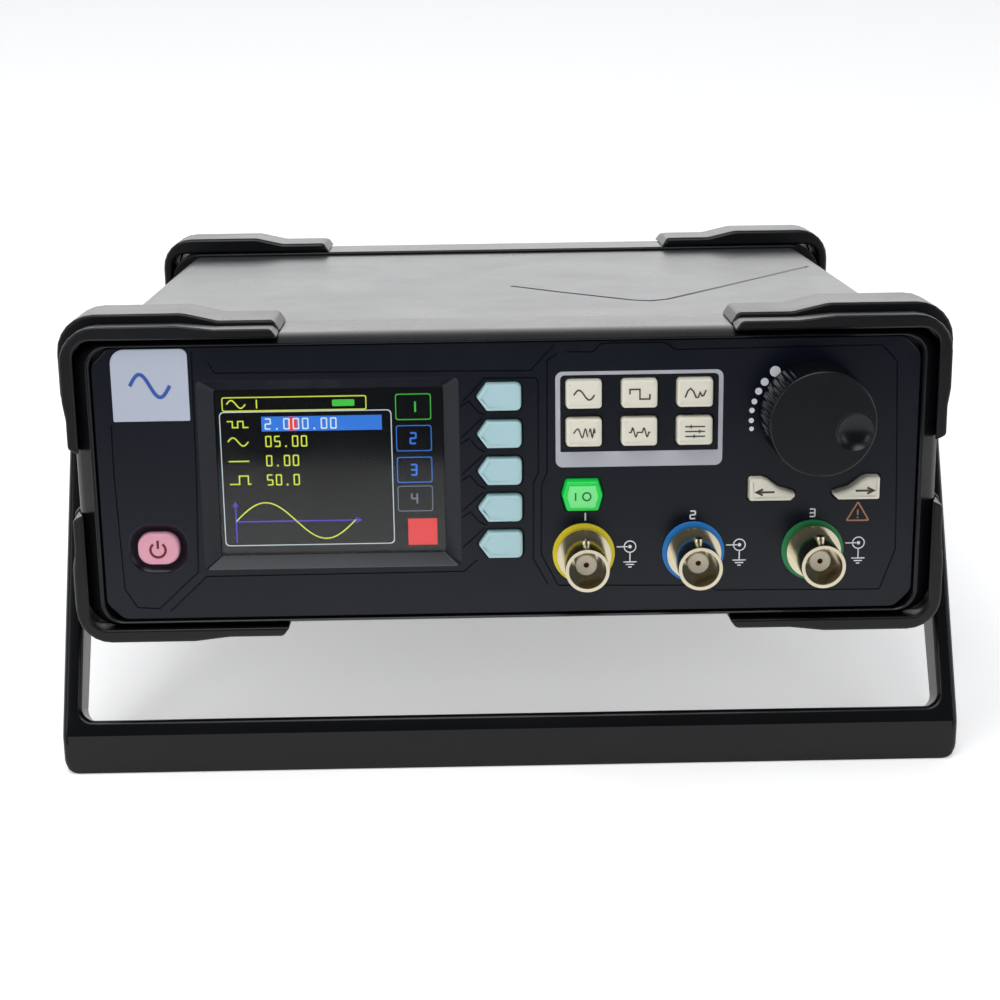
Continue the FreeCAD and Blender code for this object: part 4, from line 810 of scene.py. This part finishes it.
icon("left_arrow_key", [[(-3.6, -0.5), (0.4, -0.5)], [(-2.2, 0.2), (-3.7, -0.5), (-2.2, -1.2)]],
     key_ink, BOLD)
icon("right_arrow_key", [[(-0.4, -0.5), (3.6, -0.5)], [(2.2, 0.2), (3.7, -0.5), (2.2, -1.2)]],
     key_ink, BOLD)
bright = bmesh.new()
add_slab(bright, at(grown(output_key(), -1.1), *OUTPUT_AT), KEY_FRONT - 0.03, KEY_FRONT + 0.05)
place("output_key_glow", bright, surface("key_lit", (118, 226, 134), 0.4, vary=0.05, glow=0.2),
      "output_key_cap")
icon("output_key", [[(-1.6, -0.9), (-1.6, 0.9)],
                    [(0.9 + 0.9 * math.cos(a), 0.9 * math.sin(a))
                     for a in [2 * math.pi * k / 20 for k in range(21)]]],
     surface("output_ink", (10, 110, 45), 0.5))
icon("power_key", [[(1.7 * math.sin(a), -0.1 + 1.7 * math.cos(a))
                    for a in [math.radians(38 + 284 * k / 24) for k in range(25)]],
                   [(0, 2.1), (0, 0.2)]], dark_red, 0.55, POWER_FRONT)

# ---- tuning knob ------------------------------------------------------------------------------
# A black moulded knob pushed onto the encoder's shaft. Its skirt is finely ribbed for grip, and its
# flat polished face has a finger dimple near the rim.

knob_black = surface("knob_black", (11, 13, 17), 0.27, grain=0.03, specular=0.32)
KNOB_RADIUS, KNOB_FACE, KNOB_FOOT, RIBS = 11.9, -14.0, -0.8, 72
DIMPLE_RADIUS, DIMPLE_OFFSET, DIMPLE_TURN = 4.15, 7.0, math.radians(-14.5)


def ribbed(radius, depth):
    """A circle with a shallow rib at each step round it."""
    points = []
    for k in range(RIBS * 4):
        bump = (0.0, 0.7, 1.0, 0.7)[k % 4]
        angle = 2 * math.pi * k / (RIBS * 4)
        reach = radius - depth * bump
        points.append((KNOB_AT[0] + reach * math.cos(angle), KNOB_AT[1] + reach * math.sin(angle)))
    return points


knob = bmesh.new()
rows = [(ribbed(11.25, 0), KNOB_FACE), (ribbed(11.5, 0), KNOB_FACE + 0.1),
        (ribbed(11.62, 0), KNOB_FACE + 0.35), (ribbed(11.62, 0.22), KNOB_FACE + 0.8),
        (ribbed(11.7, 0.3), KNOB_FACE + 1.3), (ribbed(KNOB_RADIUS, 0.32), KNOB_FOOT - 1.2),
        (ribbed(KNOB_RADIUS, 0.1), KNOB_FOOT - 0.6), (ribbed(KNOB_RADIUS - 0.3, 0), KNOB_FOOT)]
rings = add_rows(knob, rows)
hollow = (KNOB_AT[0] + DIMPLE_OFFSET * math.cos(DIMPLE_TURN),
          KNOB_AT[1] + DIMPLE_OFFSET * math.sin(DIMPLE_TURN))
dimple_rows = [(disc(*hollow, DIMPLE_RADIUS * s, 48), KNOB_FACE + d)
               for s, d in ((1.0, 0.0), (0.97, 0.08), (0.9, 0.36), (0.75, 0.8), (0.55, 1.12),
                            (0.3, 1.32), (0.1, 1.38))]
dimple = add_rows(knob, dimple_rows)
add_cap(knob, rings[0], [dimple[0]])
add_cap(knob, dimple[-1])
add_cap(knob, rings[-1])
place("knob_cap", knob, knob_black, "dial", ["knob"], sharp=60)

# ---- BNC sockets ------------------------------------------------------------------------------
# Nickel-plated bayonet sockets, each held by a nut behind the panel, over a coloured ring. A cream
# insulator inside carries a gilt contact.

nickel = surface("nickel", (216, 206, 180), 0.16, metallic=1.0, vary=0.06, grain=0.01)
gilt = surface("gilt", (214, 170, 90), 0.22, metallic=1.0, vary=0.08)
cream_insulator = surface("insulator", (250, 244, 228), 0.45, vary=0.03)
for name in ("first", "second", "third"):
    dress("bnc_shell_" + name, nickel)
for name, colour in (("first", (228, 208, 36)), ("second", (28, 122, 205)),
                     ("third", (28, 134, 74))):
    dress("bnc_ring_" + name, surface("ring_" + name, colour, 0.4, vary=0.05), 0.15)
CORE_FRONT, CORE_RADIUS, CONTACT_HOLE, MOUTH = -9.9, 2.4, 1.07, 0.62
for index, x in enumerate(BNC_X):
    core = bmesh.new()
    rows = [(disc(x, BNC_Z, r, 32), y) for r, y in
            ((MOUTH, CORE_FRONT), (CORE_RADIUS - 0.2, CORE_FRONT), (CORE_RADIUS, CORE_FRONT + 0.2),
             (CORE_RADIUS, 0.0), (CONTACT_HOLE, 0.0), (CONTACT_HOLE, CORE_FRONT + 0.28),
             (MOUTH, CORE_FRONT + 0.24))]
    add_rows(core, rows, closed=True)
    place(f"insulator_{index + 1}", core, cream_insulator, "case",
          ["bnc_insulators"] if index == 0 else [])
dress("bnc_contacts", gilt)
dress("bnc_nuts", nickel)

# ---- carrying handle --------------------------------------------------------------------------
# One black moulding, a pair of flat arms with round eyes and a deep crossbar, all with generous
# rounded edges. It swings on a screw in each side of the case, and its crossbar is the stand.

handle_black = surface("handle_black", (10, 11, 14), 0.24, grain=0.04, specular=0.3)
PIVOT_Y, LEAN = 42.0, math.radians(25.2)
ARM_OUTER, ARM_INNER, BAR_TOP, BAR_BOTTOM, EYE = 105.0, 100.7, -67.7, -79.85, 9.0


def in_steps(outline, step):
    """The outline with points added so that no side is longer than the step."""
    result = []
    for a, b in zip(outline, outline[1:] + outline[:1]):
        count = max(1, math.ceil((Vector(b) - Vector(a)).length / step))
        result += [tuple(Vector(a).lerp(Vector(b), k / count)) for k in range(count)]
    return result


def between(z, table):
    """Linear between the table's (height, value) pairs, falling in height."""
    for (z0, v0), (z1, v1) in zip(table, table[1:]):
        if z1 <= z <= z0:
            return v0 + (v1 - v0) * (z0 - z) / (z0 - z1)
    return table[0][1] if z > table[0][0] else table[-1][1]


def eye_arc(hand):
    """The arm's round top down to the pivot's height; hand -1 is the front."""
    turns = [math.pi / 2 * (1 - k / 12) for k in range(13)]
    return [(EYE * math.sin(turn), hand * EYE * math.cos(turn)) for turn in turns]


HANDLE_FRONT = eye_arc(-1) + [(-71.0, -9.0), (-71.9, -8.7), (BAR_BOTTOM, -4.7)]
HANDLE_BACK = eye_arc(1) + [(-EYE, 5.0), (BAR_TOP + 2, 0.7), (-75.6, 0.6), (BAR_BOTTOM, -4.7)]
bail = bmesh.new()
front_view = in_steps(soft(
    [(-ARM_OUTER, EYE), (-ARM_OUTER, BAR_BOTTOM), (ARM_OUTER, BAR_BOTTOM), (ARM_OUTER, EYE),
     (ARM_INNER, EYE), (ARM_INNER, BAR_TOP), (-ARM_INNER, BAR_TOP), (-ARM_INNER, EYE)],
    [0.8, 3.4, 3.4, 0.8, 0.8, 3.2, 3.2, 0.8], 6), 2.5)
SPAN, ROUND = 10.0, 1.3
rows = []
for k in range(5):
    angle = math.pi / 2 * k / 4
    rows.append((grown(front_view, -ROUND * (1 - math.sin(angle))), ROUND * (1 - math.cos(angle))))
rows += [(outline, SPAN - depth) for outline, depth in rows[::-1]]
rings = add_rows(bail, rows)
add_cap(bail, rings[0])
add_cap(bail, rings[-1])
for v in bail.verts:
    height = min(max(v.co.z, BAR_BOTTOM), EYE)
    near, far = between(height, HANDLE_FRONT), between(height, HANDLE_BACK)
    if far - near < 2 * ROUND:
        v.co.y = near + (far - near) * v.co.y / SPAN
    elif v.co.y <= ROUND:
        v.co.y = near + v.co.y
    else:
        v.co.y = far - (SPAN - v.co.y)
lean = Matrix.Translation((0, PIVOT_Y, 0)) @ Matrix.Rotation(-LEAN, 4, "X")
bmesh.ops.transform(bail, matrix=lean, verts=bail.verts)
place("bail", bail, handle_black, "handle", ["handle_bail"], sharp=50)
dress("pivot_hubs", frame_black, 0.5)
dress("pivot_screws", surface("steel", (120, 122, 126), 0.3, metallic=1.0), 0.2)

# ---- inside and back --------------------------------------------------------------------------
# Green circuit boards on steel standoffs, a steel shield, an anodised heat sink and black sockets.
# The plain back panel, cut with vents, is clamped in the rear frame.

board_green = surface("board_green", (22, 78, 48), 0.4, vary=0.2)
black_part = surface("black_part", (24, 24, 26), 0.45)
steel = surface("bright_steel", (150, 152, 156), 0.3, metallic=1.0)
for node in ("main_board", "front_boards"):
    dress(node, board_green)
for node in ("key_switches", "data_socket", "power_jack", "encoder_body"):
    dress(node, black_part)
for node in ("board_standoffs", "board_screws", "frame_screws", "encoder_nut", "encoder_shaft",
             "signal_shield", "pivot_anchors"):
    dress(node, steel)
dress("heat_sink", surface("anodised", (60, 62, 66), 0.4, metallic=0.8))
dress("ribbon_cable", surface("ribbon_grey", (150, 150, 148), 0.5))
dress("rear_panel", surface("rear_black", (24, 25, 28), 0.4), 0.3)
